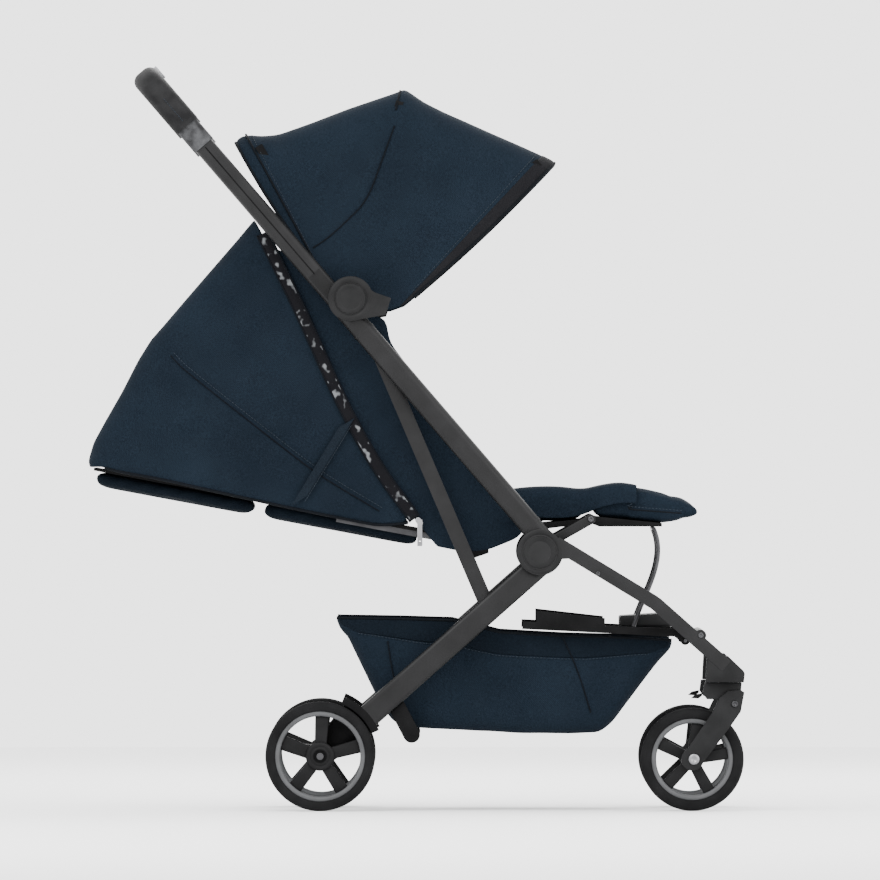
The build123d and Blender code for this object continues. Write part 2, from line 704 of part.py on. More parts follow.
with BuildPart() as seat_pad:
    with BuildSketch(side(-half_seat + 3)):
        with BuildLine():
            Polyline((60, 399), (131, 410.2), (133, 426.6), (158, 426.6), (160, 411), (236, 418.4), (246, 430),
                     (240, 458), (200, 466), (120, 458), (62, 434), close=True)
        make_face()
    extrude(amount=seat_width - 6)
    fillet(seat_pad.edges().filter_by(Axis.Y), radius=3.0)
save(seat_pad, "seat_pad")

# arms from the lower hubs that carry the leg rest
arm_inner = frame_inner - 10.4
with BuildPart() as rest_arms:
    with BuildSketch(side(arm_inner)):
        with BuildLine():
            Line((194.0, 386.0), (rest_hinge_x, rest_hinge_z))
        trace(line_width=14.0)
        with Locations((194.0, 386.0), (rest_hinge_x, rest_hinge_z)):
            Circle(7.0)
    extrude(amount=frame_inner - arm_inner)
    mirror(about=Plane.XZ)
save(rest_arms, "rest_arms")

rest_half = half_seat + 12
with BuildPart() as leg_rest_board:
    with BuildSketch(side(-rest_half)):
        with BuildLine():
            Polyline((244, 414), (262, 407), (352, 407), (352, 412), (262, 421), (244, 423), close=True)
        make_face()
        with Locations((rest_hinge_x, rest_hinge_z)):
            Circle(6.5)
    extrude(amount=2 * rest_half)
    with BuildSketch(side(-arm_inner + side_play)):
        with Locations((rest_hinge_x, rest_hinge_z)):
            Circle(4.0)
    extrude(amount=2 * (arm_inner - side_play))
save(leg_rest_board, "leg_rest_board")

with BuildPart() as leg_rest_pad:
    with BuildSketch(side(-rest_half)):
        with BuildLine():
            Polyline((258, 421.8), (352, 412.4), (392, 420), (408, 427), (402, 436), (378, 449), (330, 462), (288, 468),
                     (262, 464), (256, 440), close=True)
        make_face()
    extrude(amount=2 * rest_half)
    fillet(leg_rest_pad.edges().filter_by(Axis.Y), radius=3.0)
save(leg_rest_pad, "leg_rest_pad")

wire_top = (340.6, 403.7)
with BuildPart() as leg_rest_wire:
    with BuildLine(side(wire_y)) as wire_path:
        Spline((wire_top[0], wire_top[1]), (347.0, 375.0), (332.0, 315.0), (rod_x, rod_z + rod_radius + 0.4))
    with BuildSketch(Plane(wire_path.line @ 0, z_dir=wire_path.line % 0)):
        Circle(wire_radius)
    sweep(path=wire_path.line)
    mirror(about=Plane.XZ)
    with BuildSketch(side(-wire_y - wire_radius)):
        with Locations(wire_top):
            Circle(wire_radius)
    extrude(amount=2 * (wire_y + wire_radius))
save(leg_rest_wire, "leg_rest_wire")

# ---- backrest: frame, board, pads, liner --------------------------------------------------
hinge_half = half_seat - 8
with BuildPart() as recline_frame:
    with BuildSketch(side(-hinge_half)):
        with Locations((back_hinge_x, back_hinge_z)):
            Circle(frame_rod)
    extrude(amount=2 * hinge_half)
    with BuildSketch(back_plane.offset(-hinge_half)):
        with Locations((150 / 2, 0)):
            Rectangle(150, 2 * frame_rod)
    extrude(amount=8)
    with BuildSketch(back_plane.offset(hinge_half - 8)):
        with Locations((150 / 2, 0)):
            Rectangle(150, 2 * frame_rod)
    extrude(amount=8)
save(recline_frame, "recline_frame")

pad_split = 262.0
pad_gap = 4.0
board_low = frame_rod + 0.5
with BuildPart() as back_board:
    with BuildSketch(back_plane.offset(-half_seat)):
        with Locations(((14 + back_length) / 2, board_low + board_thickness / 2)):
            Rectangle(back_length - 14, board_thickness)
    extrude(amount=seat_width)
    with BuildSketch(back_plane.offset(-hinge_half + 10)):
        Circle(9.0)
        with Locations((10, board_low + 2)):
            Rectangle(20, board_thickness)
        Circle(frame_rod + 0.3, mode=Mode.SUBTRACT)
    extrude(amount=40)
    with BuildSketch(back_plane.offset(hinge_half - 50)):
        Circle(9.0)
        with Locations((10, board_low + 2)):
            Rectangle(20, board_thickness)
        Circle(frame_rod + 0.3, mode=Mode.SUBTRACT)
    extrude(amount=40)
save(back_board, "back_board")

with BuildPart() as back_pads:
    for start, end in ((24.0, pad_split - pad_gap / 2), (pad_split + pad_gap / 2, back_length)):
        with BuildSketch(back_plane.offset(-hinge_half + 9)):
            with Locations(((start + end) / 2, board_low - back_pad_thickness / 2)):
                RectangleRounded(end - start, back_pad_thickness, 7.0)
        extrude(amount=2 * hinge_half - 18)
save(back_pads, "back_pads")

with BuildPart() as back_liner:
    with BuildSketch(back_plane.offset(-half_seat + 4)):
        with Locations(((40 + back_length - 10) / 2, board_low + board_thickness + liner_thickness / 2)):
            RectangleRounded(back_length - 50, liner_thickness, 4.0)
    extrude(amount=seat_width - 8)
save(back_liner, "back_liner")

# ---- side fabric of the seat --------------------------------------------------------------
shell_points = ((-232, 846), (-329, 733), (-379.5, 675), (-413, 618), (-461, 531), (-470, 500), (-374, 478),
                (-233, 452), (-93, 423), (-2, 414.5), (-56, 490), (-108, 582), (-163, 704), (-200, 786))
with BuildPart() as seat_shell:
    with BuildSketch(side(-panel_outer)):
        with BuildLine():
            Polyline(*shell_points, close=True)
        make_face()
    extrude(amount=2 * panel_outer)
    with BuildSketch(side(-panel_outer + panel_wall)):
        with BuildLine():
            Polyline((-228, 842), (-326, 730), (-376, 672), (-409.5, 616), (-457, 529), (-464, 497), (-480, 440),
                     (20, 380), (20, 414), (-50, 492), (-100, 584), (-155, 706), (-190, 800), close=True)
        make_face()
    extrude(amount=2 * (panel_outer - panel_wall), mode=Mode.SUBTRACT)
save(seat_shell, "seat_shell")

strip_points = ((-221, 827), (-166, 718), (-110, 590), (-58, 494), (-2, 418))
strip_width = 14.0
with BuildPart() as vent_strips:
    with BuildSketch(side(panel_outer + 0.4)):
        with BuildLine():
            Polyline(*strip_points)
        trace(line_width=strip_width)
    extrude(amount=2.5)
    mirror(about=Plane.XZ)
save(vent_strips, "vent_strips")

with BuildPart() as seat_wings:
    with BuildSketch(side(panel_outer - panel_wall)):
        with BuildLine():
            Polyline((-206, 816), (-150, 704), (-94, 580), (-34, 480), (4, 420), (40, 376), (66, 371),
                     (100, 372), (150, 392), (160, 420), (118, 486), (34, 576), (-38, 672), (-44, 706), (-100, 718),
                     (-165, 790), close=True)
        make_face()
        with Locations((seat_bar_x, seat_bar_z)):
            Circle(bar_radius + 0.5, mode=Mode.SUBTRACT)
    extrude(amount=panel_wall)
    mirror(about=Plane.XZ)
save(seat_wings, "seat_wings")

with BuildPart() as side_straps:
    with BuildSketch(side(panel_outer + 3.4)):
        with BuildLine():
            Line((-100, 556), (-168, 444))
        trace(line_width=27.0)
    extrude(amount=1.6)
    mirror(about=Plane.XZ)
save(side_straps, "side_straps")

slider_x, slider_z = 4.0, 414.0
with BuildPart() as zip_sliders:
    with BuildSketch(side(panel_outer + 3.2)):
        with Locations((slider_x, slider_z)):
            SlotOverall(13.0, 8.0, rotation=-55)
    extrude(amount=5.0)
    mirror(about=Plane.XZ)
save(zip_sliders, "zip_sliders")

for name, sign in SIDES:
    start = panel_outer + 8.5 if sign < 0 else -panel_outer - 10.5
    with BuildPart() as pull:
        with BuildSketch(side(start)):
            with Locations((slider_x + 1, slider_z - 16)):
                Rectangle(7.0, 38.0)
                with Locations((0, -13)):
                    Circle(1.8, mode=Mode.SUBTRACT)
        extrude(amount=2.0)
    save(pull, f"zip_pull_{name}")

# ---- harness ------------------------------------------------------------------------------
with BuildPart() as shoulder_straps:
    for offset_y in (-57.0, 35.0):
        with BuildSketch(back_plane.offset(offset_y)):
            with Locations((190, board_low + board_thickness + liner_thickness + 4.3)):
                RectangleRounded(300, 8.0, 3.5)
        extrude(amount=22.0)
save(shoulder_straps, "shoulder_straps")

# x runs up the strap from the seat pad, y points forwards and up, out of the buckle's face
strap_plane = Plane(origin=(100, 0, 450.5), x_dir=(-0.62, 0, 0.785), z_dir=(0, 1, 0))
strap_length, strap_thickness, strap_width = 50.0, 5.0, 28.0
buckle_length, buckle_thickness, buckle_width = 37.6, 14.0, 48.0
buckle_middle = strap_length + 0.4 + buckle_length / 2
buckle_button_radius, pocket_depth = 8.5, 6.0
with BuildPart() as crotch_strap:
    with BuildSketch(strap_plane.offset(-strap_width / 2)):
        with Locations((strap_length / 2 + 0.15, 0)):
            Rectangle(strap_length - 0.3, strap_thickness)
    extrude(amount=strap_width)
save(crotch_strap, "crotch_strap")

button_plane = Plane(origin=strap_plane.from_local_coords((buckle_middle, buckle_thickness / 2, 0)),
                     x_dir=(0, 1, 0), z_dir=(0.785, 0, 0.62))
with BuildPart() as buckle:
    with BuildSketch(strap_plane.offset(-buckle_width / 2)):
        with Locations((buckle_middle, 0)):
            RectangleRounded(buckle_length, buckle_thickness, 4.0)
    extrude(amount=buckle_width)
    with BuildSketch(button_plane):
        Circle(buckle_button_radius + 0.5)
    extrude(amount=-pocket_depth, mode=Mode.SUBTRACT)
save(buckle, "buckle")

with BuildPart() as buckle_button:
    with BuildSketch(button_plane.offset(2.2 - pocket_depth)):
        Circle(buckle_button_radius)
    extrude(amount=5.0)
save(buckle_button, "buckle_button")

# ---- basket -------------------------------------------------------------------------------
basket_half = 168.0
basket_wall = 3.0
basket_points = ((-116, 277), (-109, 259), (-99, 252), (-56, 163), (-34, 127), (-20, 118.2), (10, 118),
                 (80, 115), (148, 111), (222, 110.5), (262, 112), (280, 126), (303, 157), (346, 214), (367, 235),
                 (366, 245.5), (300, 249), (206, 252), (120, 257.5), (52, 274), (-20, 276))
with BuildPart() as basket:
    with BuildSketch(side(-basket_half)):
        with BuildLine():
            Polyline(*basket_points, close=True)
        make_face()
    extrude(amount=2 * basket_half)
    with BuildSketch(side(-basket_half + basket_wall)):
        with BuildLine():
            Polyline((-118, 290), (-105.5, 258), (-96, 250), (-53, 164), (-31.5, 129.5), (-19, 121.2), (10, 121), (80, 118),
                     (148, 114),
                     (222, 113.5), (261, 115), (277.5, 128), (300.5, 159), (343, 216), (363, 236), (363, 290),
                     close=True)
        make_face()
    extrude(amount=2 * (basket_half - basket_wall), mode=Mode.SUBTRACT)
save(basket, "basket")
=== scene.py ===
"""Looks of the compact folding stroller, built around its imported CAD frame."""

import json
import logging
import math
from collections.abc import Callable, Sequence
from dataclasses import dataclass
from enum import Enum

import bmesh
import bpy
from mathutils import Matrix, Vector, noise


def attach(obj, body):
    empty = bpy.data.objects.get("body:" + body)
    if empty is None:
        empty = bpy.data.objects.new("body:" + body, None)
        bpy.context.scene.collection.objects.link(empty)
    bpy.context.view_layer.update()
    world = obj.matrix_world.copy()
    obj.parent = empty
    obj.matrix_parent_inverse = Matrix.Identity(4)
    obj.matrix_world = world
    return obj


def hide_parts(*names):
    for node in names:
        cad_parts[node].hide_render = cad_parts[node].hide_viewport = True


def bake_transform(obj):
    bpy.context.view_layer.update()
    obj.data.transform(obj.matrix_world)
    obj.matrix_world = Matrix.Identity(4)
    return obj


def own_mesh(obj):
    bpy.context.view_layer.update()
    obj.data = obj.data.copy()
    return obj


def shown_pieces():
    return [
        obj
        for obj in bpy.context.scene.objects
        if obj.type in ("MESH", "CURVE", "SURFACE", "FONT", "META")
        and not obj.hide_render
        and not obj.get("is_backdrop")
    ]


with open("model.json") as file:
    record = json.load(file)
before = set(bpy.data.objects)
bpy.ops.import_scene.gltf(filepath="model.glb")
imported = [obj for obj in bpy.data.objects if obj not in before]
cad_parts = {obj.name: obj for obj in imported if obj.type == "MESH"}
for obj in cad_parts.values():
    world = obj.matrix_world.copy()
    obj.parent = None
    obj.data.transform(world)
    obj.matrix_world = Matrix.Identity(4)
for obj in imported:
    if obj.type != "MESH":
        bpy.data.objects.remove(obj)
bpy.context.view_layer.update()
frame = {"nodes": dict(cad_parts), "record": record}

log = logging.getLogger("stroller")
MM = 0.001
Point = tuple[float, float]
Place = Callable[[float, float], Vector]
THREAD_SCALE = 314.0
VOXEL_SIZE = 0.006
SWELL_FRAMES = 20
SWELL_PRESSURE = 4.0
GROOVE_DEPTH, GROOVE_WIDTH = 0.0022, 0.006


class Texture(Enum):
    """How the surface of a finish is broken up."""

    WOVEN = "woven"
    NET = "net"
    MOULDED = "moulded"
    BRUSHED = "brushed"
    GRAINED = "grained"
    RUBBERY = "rubbery"


@dataclass(frozen=True)
class Finish:
    """One finish: its colours, gloss and surface relief."""

    name: str
    texture: Texture
    colour: tuple[float, float, float]
    fleck: tuple[float, float, float]
    roughness: float
    metallic: float = 0.0
    relief: float = 0.0002
    pitch: float = 1.6
    specular: float = 0.5

    def build(self) -> bpy.types.Material:
        """Builds the material, or hands back the one already built.

        Returns:
            The node material of this finish.
        """
        found = bpy.data.materials.get(self.name)
        if found:
            return found
        material = bpy.data.materials.new(self.name)
        material.use_nodes = True
        tree = material.node_tree
        nodes, links = tree.nodes, tree.links
        shader = nodes["Principled BSDF"]
        shader.inputs["Metallic"].default_value = self.metallic
        shader.inputs["Specular IOR Level"].default_value = self.specular
        place = nodes.new("ShaderNodeTexCoord").outputs["Object"]

        def cloud(scale: float, detail: float = 3.0) -> bpy.types.NodeSocket:
            """Noise of one scale on object coordinates."""
            node = nodes.new("ShaderNodeTexNoise")
            node.inputs["Scale"].default_value = scale
            node.inputs["Detail"].default_value = detail
            links.new(place, node.inputs["Vector"])
            return node.outputs["Fac"]

        def threads(direction: str) -> bpy.types.NodeSocket:
            """Fine ridges along one direction, a thread's pitch apart."""
            node = nodes.new("ShaderNodeTexWave")
            node.bands_direction = direction
            node.inputs["Scale"].default_value = THREAD_SCALE / self.pitch
            node.inputs["Distortion"].default_value = 0.6
            links.new(place, node.inputs["Vector"])
            return node.outputs["Fac"]

        def ramp(source: bpy.types.NodeSocket, low: float, high: float,
                 dark: Sequence[float], light: Sequence[float]) -> bpy.types.NodeSocket:
            """Colour ramp from dark at low to light at high."""
            node = nodes.new("ShaderNodeValToRGB")
            node.color_ramp.elements[0].position = low
            node.color_ramp.elements[1].position = high
            node.color_ramp.elements[0].color = (*dark, 1.0)
            node.color_ramp.elements[1].color = (*light, 1.0)
            links.new(source, node.inputs["Fac"])
            return node.outputs["Color"]

        def maths(kind: str, one: bpy.types.NodeSocket,
                  two: bpy.types.NodeSocket | float) -> bpy.types.NodeSocket:
            """One math node on a socket and a socket or number."""
            node = nodes.new("ShaderNodeMath")
            node.operation = kind
            links.new(one, node.inputs[0])
            if isinstance(two, float):
                node.inputs[1].default_value = two
            else:
                links.new(two, node.inputs[1])
            return node.outputs["Value"]

        shade = tuple(0.8 * part for part in self.colour)
        if not self.relief:
            shader.inputs["Base Color"].default_value = (*self.colour, 1.0)
            shader.inputs["Roughness"].default_value = self.roughness
            return material
        if self.texture is Texture.WOVEN:
            height = maths("ADD", maths("MULTIPLY", threads("X"), threads("Z")), threads("DIAGONAL"))
            source = maths("ADD", maths("MULTIPLY", cloud(700.0), 0.7),
                           maths("MULTIPLY", cloud(9.0), 0.3))
            colour = ramp(source, 0.36, 0.64, self.colour, self.fleck)
        elif self.texture is Texture.NET:
            cells = nodes.new("ShaderNodeTexVoronoi")
            cells.inputs["Scale"].default_value = 330.0
            links.new(place, cells.inputs["Vector"])
            height = cells.outputs["Distance"]
            colour = ramp(maths("MULTIPLY", maths("SUBTRACT", cloud(90.0, 1.0), 0.58), 8.0), 0.0, 0.9,
                          self.colour, self.fleck)
        elif self.texture is Texture.GRAINED:
            cells = nodes.new("ShaderNodeTexVoronoi")
            cells.inputs["Scale"].default_value = 650.0
            links.new(place, cells.inputs["Vector"])
            height = cells.outputs["Distance"]
            colour = ramp(cloud(60.0), 0.35, 0.7, shade, self.fleck)
        elif self.texture is Texture.BRUSHED:
            stretch = nodes.new("ShaderNodeMapping")
            stretch.inputs["Scale"].default_value = (60.0, 900.0, 60.0)
            links.new(place, stretch.inputs["Vector"])
            lines = nodes.new("ShaderNodeTexNoise")
            lines.inputs["Scale"].default_value = 4.0
            links.new(stretch.outputs["Vector"], lines.inputs["Vector"])
            height = lines.outputs["Fac"]
            colour = ramp(cloud(25.0), 0.3, 0.75, shade, self.fleck)
        else:
            height = cloud(1500.0 if self.texture is Texture.MOULDED else 500.0)
            colour = ramp(cloud(30.0), 0.3, 0.75, shade, self.fleck)
        links.new(colour, shader.inputs["Base Color"])
        gloss = nodes.new("ShaderNodeMapRange")
        gloss.inputs["To Min"].default_value = max(0.05, self.roughness - 0.09)
        gloss.inputs["To Max"].default_value = min(1.0, self.roughness + 0.09)
        links.new(cloud(40.0), gloss.inputs["Value"])
        links.new(gloss.outputs["Result"], shader.inputs["Roughness"])
        bump = nodes.new("ShaderNodeBump")
        bump.inputs["Strength"].default_value = 0.5
        bump.inputs["Distance"].default_value = self.relief
        links.new(height, bump.inputs["Height"])
        links.new(bump.outputs["Normal"], shader.inputs["Normal"])
        return material


NAVY = Finish("navy_melange", Texture.WOVEN, colour=(0.0022, 0.0042, 0.0072),
              fleck=(0.0062, 0.0105, 0.0165), roughness=0.92, specular=0.06)
DEEP_NAVY = Finish("deep_navy", Texture.WOVEN, colour=(0.0014, 0.0026, 0.0044),
                   fleck=(0.0038, 0.0064, 0.0100), roughness=0.92, specular=0.05)
BLACK_CLOTH = Finish("black_cloth", Texture.WOVEN, colour=(0.002, 0.002, 0.003),
                     fleck=(0.006, 0.006, 0.007), roughness=0.9, specular=0.1)
WEBBING = Finish("webbing", Texture.WOVEN, colour=(0.0024, 0.0042, 0.0068), fleck=(0.0070, 0.0108, 0.0160),
                 roughness=0.85, relief=0.0004, pitch=2.4, specular=0.06)
NET = Finish("vent_net", Texture.NET, colour=(0.002, 0.002, 0.003), fleck=(0.10, 0.105, 0.11),
             roughness=0.85, relief=0.0004, specular=0.1)
PIPING = Finish("piping", Texture.WOVEN, colour=(0.0012, 0.0016, 0.0024), fleck=(0.0030, 0.0040, 0.0056),
                roughness=0.8, specular=0.06)
THREAD = Finish("thread", Texture.WOVEN, colour=(0.009, 0.013, 0.018), fleck=(0.018, 0.024, 0.032),
                roughness=0.8, specular=0.15)
TUBE = Finish("satin_tube", Texture.BRUSHED, colour=(0.0038, 0.0038, 0.0042), fleck=(0.0075, 0.0075, 0.0080),
              roughness=0.42, relief=0.00003, specular=0.16)
CASTING = Finish("casting_grey", Texture.MOULDED, colour=(0.0038, 0.0039, 0.0042),
                 fleck=(0.0080, 0.0081, 0.0085), roughness=0.52, relief=0.00012, specular=0.12)
BLACK_MOULD = Finish("black_moulding", Texture.MOULDED, colour=(0.0016, 0.0016, 0.0018),
                     fleck=(0.0042, 0.0042, 0.0045), roughness=0.6, specular=0.06)
RIM = Finish("rim_grey", Texture.MOULDED, colour=(0.034, 0.035, 0.037), fleck=(0.052, 0.053, 0.056),
             roughness=0.52, relief=0.0001, specular=0.35)
SPOKE = Finish("spoke_black", Texture.MOULDED, colour=(0.0028, 0.0028, 0.0031),
               fleck=(0.0062, 0.0062, 0.0066), roughness=0.55, specular=0.1)
TYRE = Finish("tyre_rubber", Texture.RUBBERY, colour=(0.0034, 0.0034, 0.0037),
              fleck=(0.0072, 0.0072, 0.0076), roughness=0.88, relief=0.0003, specular=0.1)
GRIP = Finish("grip_leather", Texture.GRAINED, colour=(0.0035, 0.0035, 0.004),
              fleck=(0.0085, 0.0085, 0.009), roughness=0.62, relief=0.0004, specular=0.12)
COLLAR = Finish("mottled_collar", Texture.GRAINED, colour=(0.012, 0.012, 0.013),
                fleck=(0.055, 0.056, 0.059), roughness=0.78, specular=0.15)
STEEL = Finish("bright_steel", Texture.BRUSHED, colour=(0.20, 0.20, 0.21), fleck=(0.32, 0.32, 0.33),
               roughness=0.28, metallic=1.0, relief=0.00002)
DARK_STEEL = Finish("dark_steel", Texture.BRUSHED, colour=(0.030, 0.030, 0.032), fleck=(0.060, 0.060, 0.063),
                    roughness=0.32, metallic=1.0, relief=0.00002)
BUTTON = Finish("button_grey", Texture.MOULDED, colour=(0.10, 0.10, 0.11), fleck=(0.14, 0.14, 0.15),
                roughness=0.4)
PALE = Finish("studio_floor", Texture.MOULDED, colour=(0.9, 0.9, 0.9), fleck=(0.9, 0.9, 0.9),
              roughness=0.95, relief=0.0)


def mesh_object(name: str, shape: bmesh.types.BMesh, finish: Finish) -> bpy.types.Object:
    """Turns a finished bmesh into an object in the scene.

    Args:
        name: the piece's name.
        shape: the bmesh, which is freed.
        finish: what the piece is dressed in.

    Returns:
        The new object, at the origin.
    """
    mesh = bpy.data.meshes.new(name)
    for face in shape.faces:
        face.smooth = True
    shape.to_mesh(mesh)
    shape.free()
    mesh.materials.append(finish.build())
    made = bpy.data.objects.new(name, mesh)
    bpy.context.scene.collection.objects.link(made)
    return made


def point_on(line: Sequence[Point], share: float) -> Vector:
    """Point a share of the way along a line of (x, z) millimetres.

    Args:
        line: the line's points.
        share: 0 at its start, 1 at its end.

    Returns:
        The point as an (x, z) vector in millimetres.
    """
    points = [Vector(point) for point in line]
    lengths = [(b - a).length for a, b in zip(points, points[1:])]
    left = max(0.0, min(1.0, share)) * sum(lengths)
    for start, end, length in zip(points, points[1:], lengths):
        if left <= length or end is points[-1]:
            return start.lerp(end, min(1.0, left / length))
        left -= length
    return points[-1]


def rounded(line: Sequence[Point], steps: int = 4) -> list[Point]:
    """Corner-cut copy of a line, so that cloth edges run in smooth curves.

    Args:
        line: the line's points in millimetres.
        steps: how often the corners are cut.

    Returns:
        The smoothed line.
    """
    points = [Vector(point) for point in line]
    for _ in range(steps):
        cut = [points[0]]
        for a, b in zip(points, points[1:]):
            cut += [a.lerp(b, 0.25), a.lerp(b, 0.75)]
        points = [*cut, points[-1]]
    return [(point.x, point.y) for point in points]


def sheet_of(name: str, columns: int, rows: int, place: Place, finish: Finish,
             thickness: float = 1.6) -> bpy.types.Object:
    """Sheet of cloth: a grid laid out by a function, given a thickness and smoothed.

    Args:
        name: the piece's name.
        columns: faces along u.
        rows: faces along v.
        place: where a (u, v) from 0 to 1 lies, in millimetres.
        finish: what it is dressed in.
        thickness: of the cloth, in millimetres.

    Returns:
        The sheet.
    """
    shape = bmesh.new()
    bmesh.ops.create_grid(shape, x_segments=columns, y_segments=rows, size=0.5)
    for vert in shape.verts:
        vert.co = place(vert.co.x + 0.5, vert.co.y + 0.5) * MM
    piece = mesh_object(name, shape, finish)
    wall = piece.modifiers.new("thickness", "SOLIDIFY")
    wall.thickness = thickness * MM
    wall.offset = 0.0
    smooth = piece.modifiers.new("smooth", "SUBSURF")
    smooth.levels = smooth.render_levels = 1
    return piece


def tube_along(name: str, points: Sequence[Vector], radius: float, finish: Finish) -> bpy.types.Object:
    """Thin round tube along points in millimetres, such as piping or a seam.

    Args:
        name: the piece's name.
        points: the line that it follows.
        radius: of the tube, in millimetres.
        finish: what it is dressed in.

    Returns:
        The tube.
    """
    curve = bpy.data.curves.new(name, "CURVE")
    curve.dimensions = "3D"
    curve.bevel_depth = radius * MM
    curve.bevel_resolution = 2
    curve.use_fill_caps = True
    line = curve.splines.new("POLY")
    line.points.add(len(points) - 1)
    for slot, point in zip(line.points, points):
        slot.co = (*(point * MM), 1.0)
    line = bpy.data.objects.new(name, curve)
    mesh = bpy.data.meshes.new_from_object(line)
    bpy.data.objects.remove(line)
    mesh.materials.append(finish.build())
    made = bpy.data.objects.new(name, mesh)
    bpy.context.scene.collection.objects.link(made)
    return made


def stitches(name: str, points: Sequence[Vector], pitch: float = 5.0) -> bpy.types.Object:
    """Row of short thread stitches along a line in millimetres.

    Args:
        name: the piece's name.
        points: the line that they follow.
        pitch: from stitch to stitch, in millimetres.

    Returns:
        One object with every stitch.
    """
    shape = bmesh.new()
    left = pitch / 2
    for start, end in zip(points, points[1:]):
        run = end - start
        while left < run.length:
            turn = run.to_track_quat("X", "Z").to_matrix().to_4x4()
            spot = Matrix.Translation((start + run.normalized() * left) * MM)
            size = Matrix.Diagonal((3.2, 0.7, 0.7, 1.0))
            bmesh.ops.create_cube(shape, size=MM, matrix=spot @ turn @ size)
            left += pitch
        left -= run.length
    return mesh_object(name, shape, THREAD)


def turned(name: str, profile: Sequence[Point], centre: Point, out: float, side: int,
           finish: Finish, steps: int = 72) -> bpy.types.Object:
    """Turned piece about a cross axis.

    Args:
        name: the piece's name.
        profile: (radius, depth outwards) in millimetres, in order round the section.
        centre: (x, z) of the axis.
        out: how far the profile's zero lies from the centre plane.
        side: -1 for the right side, 1 for the left.
        finish: what it is dressed in.
        steps: faces round it.

    Returns:
        The turned piece.
    """
    shape = bmesh.new()
    verts = [shape.verts.new(Vector((centre[0] + radius, side * (out + depth), centre[1])) * MM)
             for radius, depth in profile]
    edges = [shape.edges.new(pair) for pair in zip(verts, verts[1:])]
    if profile[0][0] > 0:
        edges.append(shape.edges.new((verts[-1], verts[0])))
    bmesh.ops.spin(shape, geom=[*verts, *edges], cent=Vector((centre[0], 0, centre[1])) * MM, axis=(0, 1, 0),
                   angle=math.tau, steps=steps, use_merge=True)
    bmesh.ops.remove_doubles(shape, verts=shape.verts, dist=0.00001)
    bmesh.ops.recalc_face_normals(shape, faces=shape.faces)
    return mesh_object(name, shape, finish)


def softened(node: str, width: float, finish: Finish) -> bpy.types.Object:
    """Copy of a CAD node with its edges rounded, standing in for it.

    Args:
        node: the CAD node's name.
        width: of the rounding, in millimetres.
        finish: what it is dressed in.

    Returns:
        The rounded copy, riding on the node's own body.
    """
    shape = bmesh.new()
    shape.from_mesh(frame["nodes"][node].data)
    bmesh.ops.remove_doubles(shape, verts=shape.verts, dist=0.00001)
    bmesh.ops.dissolve_limit(shape, angle_limit=math.radians(1.5), verts=shape.verts, edges=shape.edges)
    piece = mesh_object(f"{node}_body", shape, finish)
    edge = piece.modifiers.new("rounding", "BEVEL")
    edge.width = width * MM
    edge.segments = 3
    edge.limit_method = "ANGLE"
    edge.angle_limit = math.radians(38)
    edge.harden_normals = False
    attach(piece, BODY_OF[node])
    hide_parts(node)
    return piece


def block(name: str, outline: Sequence[Point], inner: float, outer: float, finish: Finish,
          rounding: float = 1.5) -> bpy.types.Object:
    """Plate with rounded edges between two distances from the centre plane.

    Args:
        name: the piece's name.
        outline: its (x, z) outline in millimetres.
        inner: y of one face in millimetres.
        outer: y of the other.
        finish: what it is dressed in.
        rounding: of its edges, in millimetres.

    Returns:
        The plate.
    """
    shape = bmesh.new()
    face = shape.faces.new([shape.verts.new(Vector((x, inner, z)) * MM) for x, z in outline])
    grown = bmesh.ops.extrude_face_region(shape, geom=[face])["geom"]
    bmesh.ops.translate(shape, vec=(0, (outer - inner) * MM, 0),
                        verts=[part for part in grown if isinstance(part, bmesh.types.BMVert)])
    bmesh.ops.recalc_face_normals(shape, faces=shape.faces)
    if rounding:
        bmesh.ops.bevel(shape, geom=shape.edges[:], offset=rounding * MM, affect="EDGES", segments=3,
                        profile=0.5, material=-1, clamp_overlap=True)
    return mesh_object(name, shape, finish)


def applied(piece: bpy.types.Object) -> None:
    """Bakes every modifier of a piece into its mesh.

    Args:
        piece: the piece to settle.
    """
    graph = bpy.context.evaluated_depsgraph_get()
    mesh = bpy.data.meshes.new_from_object(piece.evaluated_get(graph))
    piece.modifiers.clear()
    piece.data = mesh


